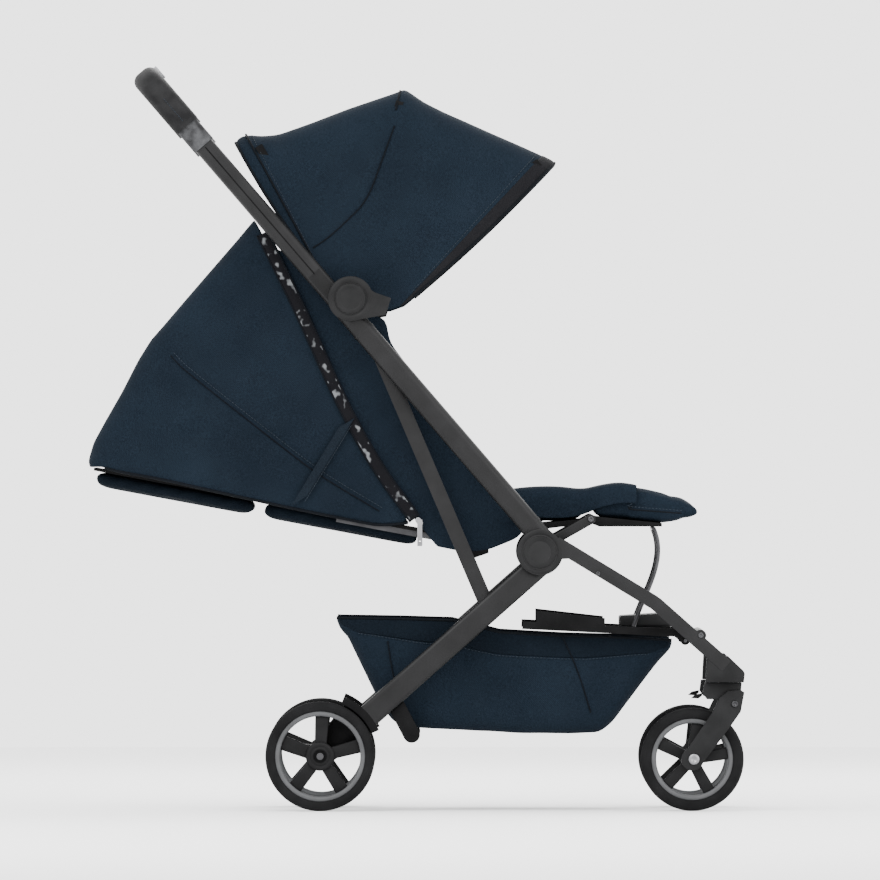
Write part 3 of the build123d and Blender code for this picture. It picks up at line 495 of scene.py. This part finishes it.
def stuffed(name: str, outline: Sequence[Point], half: float, finish: Finish, cap: float,
            channels: Sequence[tuple[Point, Point]] = ()) -> bpy.types.Object:
    """Cushion swollen by cloth simulation from a slightly small block.

    Args:
        name: the piece's name.
        outline: (x, z) outline in millimetres.
        half: half its width.
        finish: its cover.
        cap: how far a point may swell, in millimetres.
        channels: sewn lines across it, each as a point and its direction in (x, z).

    Returns:
        The cushion.
    """
    piece = block(name, outline, -half, half, finish, rounding=3.5)
    voxels = piece.modifiers.new("voxels", "REMESH")
    voxels.mode = "VOXEL"
    voxels.voxel_size = VOXEL_SIZE
    applied(piece)
    mesh = piece.data
    rest = [vert.co.copy() for vert in mesh.vertices]
    cloth = piece.modifiers.new("stuffing", "CLOTH")
    cloth.settings.use_pressure = True
    cloth.settings.uniform_pressure_force = SWELL_PRESSURE
    cloth.settings.effector_weights.gravity = 0.0
    for step in range(1, SWELL_FRAMES + 1):
        bpy.context.scene.frame_set(step)
    graph = bpy.context.evaluated_depsgraph_get()
    swollen = [vert.co.copy() for vert in piece.evaluated_get(graph).data.vertices]
    piece.modifiers.clear()
    bpy.context.scene.frame_set(1)
    for vert, start, end in zip(mesh.vertices, rest, swollen):
        push = end - start
        vert.co = start + push * min(1.0, cap * MM / max(push.length, 1e-9))
    for (x, z), (dx, dz) in channels:
        spot, way = Vector((x, 0, z)) * MM, Vector((dx, 0, dz)).normalized()
        for vert in mesh.vertices:
            gap = (vert.co - spot).dot(way)
            vert.co -= vert.normal * GROOVE_DEPTH * math.exp(-((gap / GROOVE_WIDTH) ** 2))
    for polygon in mesh.polygons:
        polygon.use_smooth = True
    smooth = piece.modifiers.new("smooth", "SUBSURF")
    smooth.levels = smooth.render_levels = 1
    return piece


BODY_OF = {node: body for body, nodes in frame["record"]["behaviour"]["bodies"].items() for node in nodes}
SIDES = {"right": -1, "left": 1}
HUB_A, HUB_B = (-94.0, 733.0), (177.0, 370.5)


@dataclass
class Canopy:
    """Folding hood: one curved sheet over three bows, with hems and piping."""

    half: float = 177.5
    corner: float = 46.0
    start: tuple[Point, ...] = ((-142, 778), (-122, 754), (-106, 742), (-92, 732), (-66, 722), (-40, 716),
                                (-18, 724))
    seam: tuple[Point, ...] = ((-31, 981), (-38, 962), (-43, 948), (-50, 929), (-70, 874), (-99, 845),
                               (-125, 821), (-148, 806))
    crown: tuple[Point, ...] = ((-259, 954), (-256, 963), (-244, 968), (-222, 966), (-198, 968), (-150, 985),
                                (-98, 1005), (-60, 1018), (-27, 1029), (-17, 1034), (-4, 1025), (10, 1015),
                                (40, 1000), (72, 986), (110, 969), (147, 953), (180, 938), (196, 930),
                                (198, 926))

    def place(self, u: float, v: float, lift: float = 0.0) -> Vector:
        """Where the hood's cloth lies.

        Args:
            u: 0 at the rear edge, 1 at the front hem.
            v: 0 at the right edge, 1 at the left.
            lift: how far outside the cloth, in millimetres.

        Returns:
            The point in millimetres.
        """
        low, high = point_on(self.start, u), point_on(self.crown, u)
        rib = high - low
        length = rib.length
        reach = min(1.0, 2 * min(v, 1 - v) / 0.9)
        flat, bend = length - self.corner, self.corner * math.pi / 2
        run = reach * (flat + bend + self.half - self.corner)
        if run < flat:
            along, out = run, self.half
        elif run < flat + bend:
            angle = (run - flat) / self.corner
            along = flat + self.corner * math.sin(angle)
            out = self.half - self.corner * (1 - math.cos(angle))
        else:
            along, out = length, self.half - self.corner - (run - flat - bend)
        edge = math.sin(math.pi * min(1.0, along / length))
        along_point = low + rib * (along / length)
        if u > 0.97 or u < 0.03:
            along_point += Vector((rib.y, -rib.x)).normalized() * (5.0 * edge * (1 if u > 0.5 else -1))
        fold = noise.noise(Vector((along_point.x / 55, out / 70, along_point.y / 55))) * 2.0
        squeeze = -abs(fold) - 2.5 * edge * abs(math.sin(math.pi * 3 * u))
        side = -1 if v < 0.5 else 1
        grow = lift / length
        out_lift = lift if run < flat + bend else 0.0
        out = max(0.0, out + (squeeze * 0.8 if run < flat else 0.0)) + out_lift
        along_point += rib * (grow if run >= flat else 0.0)
        return Vector((along_point.x, side * out, along_point.y))

    def build(self) -> None:
        """Builds the hood, its front hem band, bow seams and edge piping."""
        cover = sheet_of("canopy_hood", 54, 72, self.place, NAVY)
        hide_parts("canopy_cover")
        parts = [cover]
        for name, u, radius, low in (("rear", 0.004, 2.2, 0.02), ("rear_second", 0.045, 1.6, 0.02),
                                     ("front", 0.997, 2.0, 0.02), ("peak", 0.505, 1.3, 0.27)):
            line = [self.place(u, low + (1 - 2 * low) * step / 120, 1.2) for step in range(121)]
            parts.append(tube_along(f"canopy_piping_{name}", line, radius, PIPING))
        for name, side in SIDES.items():
            line = [Vector((x, side * 177.9, z)) for x, z in rounded(self.seam, 3)]
            parts.append(tube_along(f"canopy_seam_{name}", line, 0.9, PIPING))
        parts.append(sheet_of("canopy_hem_band", 4, 72,
                              lambda u, v: self.place(0.955 + 0.045 * u, v, 1.1), BLACK_CLOTH, 1.0))
        for u in (0.94, 0.062):
            line = [self.place(u, 0.03 + 0.94 * step / 120, 1.0) for step in range(121)]
            parts.append(stitches(f"canopy_stitches_{int(u * 1000)}", line))
        for part in parts:
            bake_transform(part)


@dataclass
class SeatFabric:
    """Side cloth of the seat, its net strips, seams and straps."""

    half: float = 158.0
    back: tuple[Point, ...] = ((-232, 846), (-258, 815), (-297, 770), (-329, 733), (-364, 692), (-380, 674),
                               (-398, 645), (-421, 600), (-445, 558), (-462, 527), (-470, 500), (-467, 492))
    front: tuple[Point, ...] = ((-200, 786), (-163, 704), (-108, 582), (-56, 490), (-12, 424), (-12, 412),
                                (-52, 408), (-93, 416), (-168, 431), (-233, 445), (-279, 455), (-366, 475),
                                (-425, 486), (-452, 494))

    def place(self, u: float, v: float) -> Vector:
        """Where the side cloth lies.

        Args:
            u: 0 at the top, 1 at the lower rear corner.
            v: 0 at the right front edge, 1 at the left.

        Returns:
            The point in millimetres.
        """
        low, high = point_on(self.front, u), point_on(self.back, u)
        rib = high - low
        length = max(rib.length, 1.0)
        corner = min(30.0, length * 0.6)
        side = -1 if v < 0.5 else 1
        flat, bend = length - corner, corner * math.pi / 2
        run = 2 * min(v, 1 - v) * (flat + bend + self.half - corner)
        if run < flat:
            along, out = run, self.half
        elif run < flat + bend:
            angle = (run - flat) / corner
            along = flat + corner * math.sin(angle)
            out = self.half - corner * (1 - math.cos(angle))
        else:
            along, out = length, self.half - corner - (run - flat - bend)
        spot = low + rib * (along / length)
        crease = abs(noise.noise(Vector((spot.x / 38, side * 3, spot.y / 38)))) * 2.2
        crease += 1.2 * math.sin(math.pi * min(1.0, along / length)) * math.sin(math.pi * u)
        if run < flat:
            out += crease
        return Vector((spot.x, side * out, spot.y))

    def side_line(self, line: Sequence[Point], side: int, out: float) -> list[Vector]:
        """Line on one side of the seat, a little outside the cloth."""
        smooth = rounded(line, 3)
        return [Vector((x, side * out, z)) for x, z in smooth]

    def build(self) -> None:
        """Builds the bag, wings, nets, seams, piping and straps."""
        bag = sheet_of("seat_side_cloth", 64, 84, self.place, NAVY, 2.0)
        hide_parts("seat_shell")
        moving = [bag]
        hem = ((-447, 491), (-425, 485), (-366, 475), (-279, 455), (-233, 445), (-168, 431), (-93, 416),
               (-53, 408), (-12, 412))
        seam = ((-352, 652), (-346, 645), (-332, 631), (-250, 566), (-163, 498), (-129, 474), (-53, 429))
        strip = ((-221, 827), (-166, 718), (-110, 590), (-58, 494), (-2, 418))
        for name, side in SIDES.items():
            moving.append(tube_along(f"seat_hem_piping_{name}", self.side_line(hem, side, 161.0),
                                     2.0, PIPING))
            moving.append(tube_along(f"seat_side_seam_{name}", self.side_line(seam, side, 161.9),
                                     0.7, PIPING))
            moving.append(stitches(f"seat_side_stitches_{name}",
                                   self.side_line([(x + 4, z + 5) for x, z in seam], side, 162.2)))
            strap = block(f"seat_side_strap_{name}", ((-88, 563), (-111, 549), (-179, 437), (-156, 451)),
                          side * 165.6, side * 167.4, WEBBING, 0.6)
            moving.append(strap)
            if name == "right":
                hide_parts("side_straps")
            ends = [Vector((-93, side * 167.7, 552)), Vector((-160, side * 167.7, 442))]
            moving.append(stitches(f"seat_strap_stitches_{name}", ends, pitch=4.0))
            self.fixed_side(name, side, strip)
        for part in moving:
            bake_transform(part)

    def fixed_side(self, name: str, side: int, strip: Sequence[Point]) -> None:
        """Builds one side's net strip and front wing.

        Args:
            name: right or left.
            side: -1 or 1.
            strip: the middle line of the net strip.
        """
        line = rounded(strip, 3)

        def net(u: float, v: float) -> Vector:
            """Net strip across its middle line."""
            spot = point_on(line, u)
            ahead = point_on(line, min(1.0, u + 0.01)) - point_on(line, max(0.0, u - 0.01))
            across = Vector((-ahead.y, ahead.x)).normalized() * (v - 0.5) * 15.0
            out = 163.2 + 1.2 * math.sin(math.pi * v)
            return Vector((spot.x + across.x, side * out, spot.y + across.y))

        band = sheet_of(f"vent_net_{name}", 60, 6, net, NET, 1.0)
        if name == "right":
            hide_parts("vent_strips")
        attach(band, "frame")
        rear = ((-216, 812), (-162, 704), (-106, 580), (-52, 482), (-8, 424), (30, 378))
        fore = ((-165, 790), (-100, 718), (-44, 706), (-38, 672), (34, 576), (118, 486), (160, 420),
                (150, 392), (100, 372), (66, 371))

        def wing(u: float, v: float) -> Vector:
            """Front side panel between the net and the side tube."""
            spot = point_on(rear, u).lerp(point_on(fore, u), v)
            out = 153.2 + 1.4 * math.sin(math.pi * v)
            out += noise.noise(Vector((spot.x / 40, side, spot.y / 40)))
            return Vector((spot.x, side * out, spot.y))

        panel = sheet_of(f"seat_wing_{name}", 48, 14, wing, NAVY, 2.0)
        if name == "right":
            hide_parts("seat_wings")
        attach(panel, "frame")
        for tag, shift in (("inner", 7.8), ("outer", -7.8)):
            edge = [net(step / 60, 0.5 + shift / 15) for step in range(61)]
            cord = tube_along(f"net_binding_{name}_{tag}", edge, 1.5, PIPING)
            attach(cord, "frame")


@dataclass
class Padding:
    """Stuffed pieces: seat, leg rest, liner and the two pads under the back."""

    hinge: Point = (33.0, 390.0)
    tilt: float = 169.4

    def back_box(self, start: float, end: float, low: float, high: float) -> list[Point]:
        """Outline along the reclined back, from distances in millimetres.

        Args:
            start: nearest the hinge.
            end: furthest from it.
            low: below the frame rod's line.
            high: above it.

        Returns:
            The outline's (x, z) points.
        """
        angle = math.radians(self.tilt)
        way, up = Vector((math.cos(angle), math.sin(angle))), Vector((math.sin(angle), -math.cos(angle)))
        corners = ((start, low), (end, low), (end, high), (start, high))
        return [tuple(Vector(self.hinge) + way * along + up * rise) for along, rise in corners]

    def build(self) -> None:
        """Builds every stuffed piece and puts it on its body."""
        angle = math.radians(self.tilt)
        way = (math.cos(angle), math.sin(angle))
        at = [tuple(Vector(self.hinge) + Vector(way) * distance) for distance in (150, 262, 380)]
        seat_outline = ((64, 403), (129, 414), (131, 430), (160, 430), (162, 415), (238, 422), (249, 432),
                        (243, 446), (200, 457), (120, 451), (66, 432))
        seat_channels = [((120, 440), (1, 0.1)), ((182, 440), (1, 0.1))]
        seat = stuffed("seat_cushion", seat_outline, 143, NAVY, 3.5, seat_channels)
        rest_outline = ((254, 424), (352, 415.5), (392, 421.5), (408, 426.5), (401, 434), (377, 446),
                        (330, 457), (289, 463), (258, 459), (251, 440))
        rest = stuffed("leg_rest_cushion", rest_outline, 158, NAVY, 3.5, [((372, 440), (1, 0.5))])
        liner = stuffed("back_liner_cushion", self.back_box(44, 491, 10, 19), 141, NAVY, 4.0,
                        [(spot, way) for spot in at])
        lower = stuffed("back_pad_lower", self.back_box(28, 257, -13, 2), 131, DEEP_NAVY, 4.0)
        upper = stuffed("back_pad_upper", self.back_box(267, 501, -13, 2), 131, DEEP_NAVY, 4.0)
        for piece, node, body in ((seat, "seat_pad", "frame"), (rest, "leg_rest_pad", "leg_rest"),
                                  (liner, "back_liner", "backrest"), (lower, "back_pads", "backrest"),
                                  (upper, None, "backrest")):
            if node:
                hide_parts(node)
            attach(piece, body)
        self.gusset()
        for name, side in SIDES.items():
            line = [Vector((x, side * 163.4, z)) for x, z in
                    rounded(((310, 436), (300, 432), (340, 429), (380, 426)), 3)]
            seam = tube_along(f"leg_rest_seam_{name}", line, 1.1, PIPING)
            thread_line = [point + Vector((0, side * 0.6, 4)) for point in line]
            row = stitches(f"leg_rest_stitches_{name}", thread_line)
            for part in (seam, row):
                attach(part, "leg_rest")

    def gusset(self) -> None:
        """Builds the cloth that joins the seat's front to the leg rest."""
        top = rounded(((124, 458), (160, 463), (204, 464), (240, 459), (262, 465), (292, 470),
                       (316, 466)), 2)
        bottom = rounded(((124, 424), (160, 421), (204, 418), (236, 422), (262, 434), (292, 441),
                          (316, 440)), 2)

        def place(u: float, v: float) -> Vector:
            """Cloth over the gap between the cushions and down its sides."""
            high, low = point_on(top, u), point_on(bottom, u)
            drop, corner = (high - low).length, 12.0
            half = 151.5 + 12.5 * min(1.0, max(0.0, (high.x - 232) / 34))
            side = -1 if v < 0.5 else 1
            flat, bend = drop - corner, corner * math.pi / 2
            run = 2 * min(v, 1 - v) * (flat + bend + half - corner)
            if run < flat:
                along, out = run, half + 0.8 * noise.noise(Vector((high.x / 22, side, run / 14)))
            elif run < flat + bend:
                angle = (run - flat) / corner
                along, out = flat + corner * math.sin(angle), half - corner * (1 - math.cos(angle))
            else:
                along, out = drop, half - corner - (run - flat - bend)
            spot = low.lerp(high, along / drop)
            return Vector((spot.x, side * out, spot.y))

        cloth = sheet_of("leg_rest_gusset", 30, 60, place, NAVY, 1.6)
        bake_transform(cloth)


@dataclass
class Basket:
    """Sagging shopping basket: one lofted shell with a hem and seams."""

    half: float = 167.0
    corner: float = 24.0
    hem: tuple[Point, ...] = ((-114, 277), (-20, 276), (52, 274), (120, 257), (206, 252), (300, 249),
                              (366, 245))
    floor: tuple[Point, ...] = ((-114, 276), (-109, 259), (-99, 252), (-78, 208), (-56, 163), (-36, 131),
                                (-20, 120), (10, 118), (80, 115), (148, 111), (222, 110), (262, 112),
                                (280, 126), (303, 157), (346, 214), (366, 235), (366, 243))

    def place(self, u: float, v: float, lift: float = 0.0) -> Vector:
        """Where the basket's cloth lies.

        Args:
            u: 0 at the rear edge, 1 at the front.
            v: 0 at the right hem, 1 at the left.
            lift: how far outside the cloth, in millimetres.

        Returns:
            The point in millimetres.
        """
        high, low = point_on(self.hem, u), point_on(self.floor, u)
        drop = low - high
        length = max(drop.length, 2.0)
        corner = min(self.corner, length * 0.5)
        flat, bend = length - corner, corner * math.pi / 2
        side = -1 if v < 0.5 else 1
        run = 2 * min(v, 1 - v) * (flat + bend + self.half - corner)
        if run < flat:
            along, out = run, self.half
        elif run < flat + bend:
            angle = (run - flat) / corner
            along, out = flat + corner * math.sin(angle), self.half - corner * (1 - math.cos(angle))
        else:
            along, out = length, self.half - corner - (run - flat - bend)
        spot = high + drop * (along / length)
        belly = math.sin(math.pi * min(1.0, along / length)) * math.sin(math.pi * u)
        if run < flat:
            out += lift + 3.5 * belly + 1.8 * noise.noise(Vector((spot.x / 45, side * 2, spot.y / 45)))
        elif run >= flat + bend:
            spot.y += 1.0 + 1.2 * noise.noise(Vector((spot.x / 60, out / 60, 4)))
        return Vector((spot.x, side * out, spot.y))

    def build(self) -> None:
        """Builds the basket shell, hem bands, piping, stitches and seams."""
        shell = sheet_of("basket_shell", 60, 76, self.place, NAVY, 1.8)
        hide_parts("basket")
        parts = [shell]
        for name, side in SIDES.items():
            flip = (lambda v: v) if side < 0 else (lambda v: 1 - v)
            parts.append(sheet_of(f"basket_hem_band_{name}", 60, 4,
                                  lambda u, v: self.place(u, flip(0.055 * v), 1.8), DEEP_NAVY, 1.0))
            line = [self.place(step / 90, flip(0.002), 1.6) for step in range(91)]
            parts.append(tube_along(f"basket_rim_piping_{name}", line, 2.2, PIPING))
            line = [self.place(step / 90, flip(0.058), 2.6) for step in range(2, 89)]
            parts.append(stitches(f"basket_hem_stitches_{name}", line))
            for tag, points in (("front", ((209, 250), (232, 200), (250, 140))),
                                ("rear", ((-41, 243), (-36, 210), (-32, 189)))):
                seam = [Vector((x, side * 171.6, z)) for x, z in rounded(points, 3)]
                parts.append(tube_along(f"basket_seam_{tag}_{name}", seam, 0.9, PIPING))
        for part in parts:
            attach(part, "rear_frame")
            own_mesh(part)


@dataclass
class Wheel:
    """One wheel: treaded tyre, rim ring, five spokes and a capped hub."""

    name: str
    body: str
    centre: Point
    out: float
    side: int
    radius: float
    rim: float
    width: float
    hub: float
    spoke: float
    turn: float

    def build(self) -> None:
        """Builds the tyre, rim and spokes and puts them on the wheel's body."""
        half, rad, rim = self.width / 2, self.radius, self.rim
        profile = [(rim - 1, -half + 2), (rim + 1, -half + 0.6), (rad - 8, -half), (rad - 3.4, -half + 1.2),
                   (rad - 1.0, -half + 4.5), (rad - 0.1, -half + 8), (rad - 0.1, -2.4), (rad - 1.8, -1.8),
                   (rad - 1.8, 1.8), (rad - 0.1, 2.4), (rad - 0.1, half - 8), (rad - 1.0, half - 4.5),
                   (rad - 3.4, half - 1.2), (rad - 8, half), (rim + 1, half - 0.6), (rim - 1, half - 2)]
        tyre = turned(f"{self.name}_tyre_skin", profile, self.centre, self.out, self.side, TYRE, 120)
        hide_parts(f"{self.name}_tyre")
        ring_in = rim - 8.0
        profile = [(ring_in, -half + 5), (ring_in + 1.5, -half + 3.6), (rim - 1.6, -half + 3),
                   (rim - 0.3, -half + 4), (rim - 0.3, half - 4), (rim - 1.6, half - 3),
                   (ring_in + 1.5, half - 3.6), (ring_in, half - 5)]
        ring = turned(f"{self.name}_rim_ring", profile, self.centre, self.out, self.side, RIM, 120)
        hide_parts(f"{self.name}_rim")
        shape = bmesh.new()
        for count in range(5):
            grown = bmesh.ops.create_cube(shape, size=1.0)["verts"]
            for vert in grown:
                outer = vert.co.x > 0
                breadth = self.spoke * (1.18 if outer else 0.98)
                vert.co = Vector((ring_in + 1.5 if outer else self.hub * 0.6,
                                  vert.co.y * (half * (0.9 if outer else 1.15)), vert.co.z * breadth))
            spin = Matrix.Rotation(math.radians(-(90 + self.turn + 72 * count)), 4, "Y")
            bmesh.ops.transform(shape, matrix=spin, verts=grown)
        bmesh.ops.bevel(shape, geom=shape.edges[:], offset=2.2, affect="EDGES", segments=3,
                        profile=0.5, material=-1)
        place = Matrix.Translation(Vector((self.centre[0], self.side * self.out, self.centre[1])) * MM)
        bmesh.ops.transform(shape, matrix=place @ Matrix.Scale(MM, 4), verts=shape.verts)
        spokes = mesh_object(f"{self.name}_spokes", shape, SPOKE)
        hub, face = self.hub, half - 2.5
        profile = [(0, face - 2.2), (hub * 0.42, face - 2.2), (hub * 0.46, face - 0.4), (hub * 0.60, face),
                   (hub * 0.66, face - 1.6), (hub * 0.72, face - 0.3), (hub * 0.95, face - 0.6),
                   (hub, face - 2.2), (hub, -face + 2.2), (hub * 0.95, -face + 0.6), (hub * 0.4, -face),
                   (0, -face)]
        cap = turned(f"{self.name}_hub", profile, self.centre, self.out, self.side, SPOKE, 64)
        for part in (tyre, ring, spokes, cap):
            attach(part, self.body)


@dataclass
class Hardware:
    """Rounded castings, caps, screws and the finishes of the CAD pieces that stay."""

    def caps(self) -> None:
        """Builds the ringed caps on the folding hubs and the screws."""
        for name, side in SIDES.items():
            rings = ((f"upper_cap_{name}", HUB_A, "canopy", 32.4, 21.5, 15.0),
                     (f"lower_cap_{name}", HUB_B, "front_frame", 33.0, 23.5, 15.8))
            for title, centre, body, outer, inner, dish in rings:
                profile = [(0, 0.6), (dish - 2, 0.4), (dish, 1.6), (inner - 2, 2.0), (inner - 0.4, 1.4),
                           (inner, -1.0), (inner + 1.6, -1.0), (inner + 2.2, 0.2), (outer - 2.0, 0.0),
                           (outer, -1.4), (outer, -4.0), (0, -4.0)]
                cap = turned(title, profile, centre, 223.4, side, CASTING, 80)
                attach(cap, body)
            screws = (("fork", (455.8, 153.5), 210.0, 5.0, f"fork_{name}"),
                      ("axle", (397.4, 74.3), 210.0, 8.0, f"fork_{name}"),
                      ("rail", (385.0, 244.0), 223.0, 2.6, "front_frame"),
                      ("bar", (407.0, 251.5), 223.0, 4.0, "front_frame"),
                      ("rest", (249.8, 417.6), 192.2, 4.5, "frame"),
                      ("leg", (260.0, 340.0), 223.0, 3.6, "front_frame"))
            for tag, centre, out, radius, body in screws:
                profile = [(0, 0.6), (radius * 0.42, 0.6), (radius * 0.5, 1.8), (radius * 0.8, 1.7),
                           (radius, 0.8), (radius, -1.5), (0, -1.5)]
                metal = STEEL if tag == "axle" else DARK_STEEL
                screw = turned(f"screw_{tag}_{name}", profile, centre, out, side, metal, 24)
                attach(screw, body)

    def grooves(self) -> None:
        """Builds the line along the handle tube and the grip's stitched seam."""
        tilt = math.radians(49.3)
        way, up = Vector((math.cos(tilt), -math.sin(tilt))), Vector((math.sin(tilt), math.cos(tilt)))
        origin = Vector(HUB_A) - up * 16.0
        for name, side in SIDES.items():
            line = [origin + way * along for along in (-300, -60)]
            groove = tube_along(f"handle_groove_{name}",
                                [Vector((spot.x, side * 213.0, spot.y)) for spot in line], 0.9, BLACK_MOULD)
            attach(groove, "handle")
            line = [origin + way * along for along in (-348, -392)]
            ends = [Vector((spot.x, side * 218.1, spot.y)) for spot in line]
            seam = stitches(f"grip_stitches_{name}", ends, pitch=4.0)
            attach(seam, "handle")

    def dress(self) -> None:
        """Rounds the castings' edges and dresses the CAD pieces that stay."""
        soft = {"front_legs": (4.0, TUBE), "caster_blocks": (4.0, CASTING), "struts": (2.2, TUBE),
                "side_rails": (1.5, BLACK_MOULD), "foot_plate": (2.5, CASTING),
                "fenders": (2.0, BLACK_MOULD),
                "caster_fork_left": (2.2, CASTING), "caster_fork_right": (2.2, CASTING),
                "swivel_head_left": (2.0, CASTING), "swivel_head_right": (2.0, CASTING),
                "canopy_brackets": (1.8, CASTING), "rear_legs": (1.5, TUBE),
                "brake_pedal": (2.0, BLACK_MOULD), "leg_rest_board": (1.5, BLACK_MOULD),
                "rest_arms": (2.0, CASTING), "buckle": (2.0, BLACK_MOULD),
                "rear_bar": (1.5, BLACK_MOULD), "seat_base": (1.0, BLACK_MOULD),
                "swivel_lock_left": (1.0, BLACK_MOULD), "swivel_lock_right": (1.0, BLACK_MOULD),
                "crotch_strap": (1.0, WEBBING), "shoulder_straps": (1.6, WEBBING)}
        for node, (width, finish) in soft.items():
            piece = softened(node, width, finish)
        kept = {"side_tubes": TUBE, "handle_frame": TUBE, "handle_grip": GRIP, "handle_collars": COLLAR,
                "upper_hubs": CASTING, "lower_hubs": CASTING, "handle_hubs": CASTING, "seat_bar": TUBE,
                "rear_axle": DARK_STEEL, "recline_frame": DARK_STEEL, "leg_rest_wire": DARK_STEEL,
                "zip_sliders": STEEL, "zip_pull_left": STEEL, "zip_pull_right": STEEL,
                "fold_button": BUTTON, "buckle_button": BUTTON, "canopy_front_bow": BLACK_MOULD,
                "canopy_mid_bow": BLACK_MOULD, "canopy_rear_bow": BLACK_MOULD,
                "back_board": BLACK_MOULD}
        for node, finish in kept.items():
            mesh = frame["nodes"][node].data
            mesh.materials.clear()
            mesh.materials.append(finish.build())


@dataclass
class Studio:
    """Pale floor, soft lights and the camera."""

    distance: float = 30.0
    lens: float = 852.0

    def build(self) -> None:
        """Builds the floor, the lights, the world and the camera."""
        shape = bmesh.new()
        bmesh.ops.create_grid(shape, x_segments=1, y_segments=1, size=6.0)
        floor = mesh_object("floor", shape, PALE)
        floor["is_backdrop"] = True
        scene = bpy.context.scene
        world = bpy.data.worlds.new("studio")
        world.use_nodes = True
        world.node_tree.nodes["Background"].inputs["Color"].default_value = (1, 1, 1, 1)
        world.node_tree.nodes["Background"].inputs["Strength"].default_value = 3.0
        scene.world = world
        for name, spot, size, power in (("key", (-1.6, -3.2, 3.2), 2.6, 150.0),
                                        ("fill", (2.8, -2.6, 1.6), 2.2, 60.0),
                                        ("rim", (0.5, 2.8, 3.0), 2.4, 110.0)):
            data = bpy.data.lights.new(name, "AREA")
            data.size = size
            data.energy = power
            light = bpy.data.objects.new(name, data)
            light.location = spot
            aim = Vector((0, 0, 0.5)) - Vector(spot)
            light.rotation_euler = aim.to_track_quat("-Z", "Y").to_euler()
            scene.collection.objects.link(light)
        data = bpy.data.cameras.new("view")
        data.lens = self.lens
        data.sensor_width = 36.0
        data.clip_end = 100.0
        camera = bpy.data.objects.new("view", data)
        camera.location = (0.034, -self.distance, 0.531)
        camera.rotation_euler = (math.pi / 2, 0, 0)
        scene.collection.objects.link(camera)
        scene.camera = camera


def main() -> None:
    """Builds every sub-assembly in order and reports each piece."""
    Studio().build()
    Canopy().build()
    SeatFabric().build()
    Padding().build()
    Basket().build()
    for name, side in SIDES.items():
        Wheel(f"rear_{name}", f"rear_wheel_{name}", (-137.5, 78.5), out=207.0, side=side, radius=78.5,
              rim=65.5, width=32.0, hub=20.6, spoke=17.0, turn=-3).build()
        Wheel(f"front_{name}", f"front_wheel_{name}", (395.0, 74.0), out=186.0, side=side, radius=74.0,
              rim=59.5, width=28.0, hub=16.0, spoke=15.0, turn=-8).build()
    hardware = Hardware()
    hardware.dress()
    hardware.caps()
    hardware.grooves()
    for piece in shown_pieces():
        log.info("built %s", piece.name)


if __name__ == "__main__":
    main()
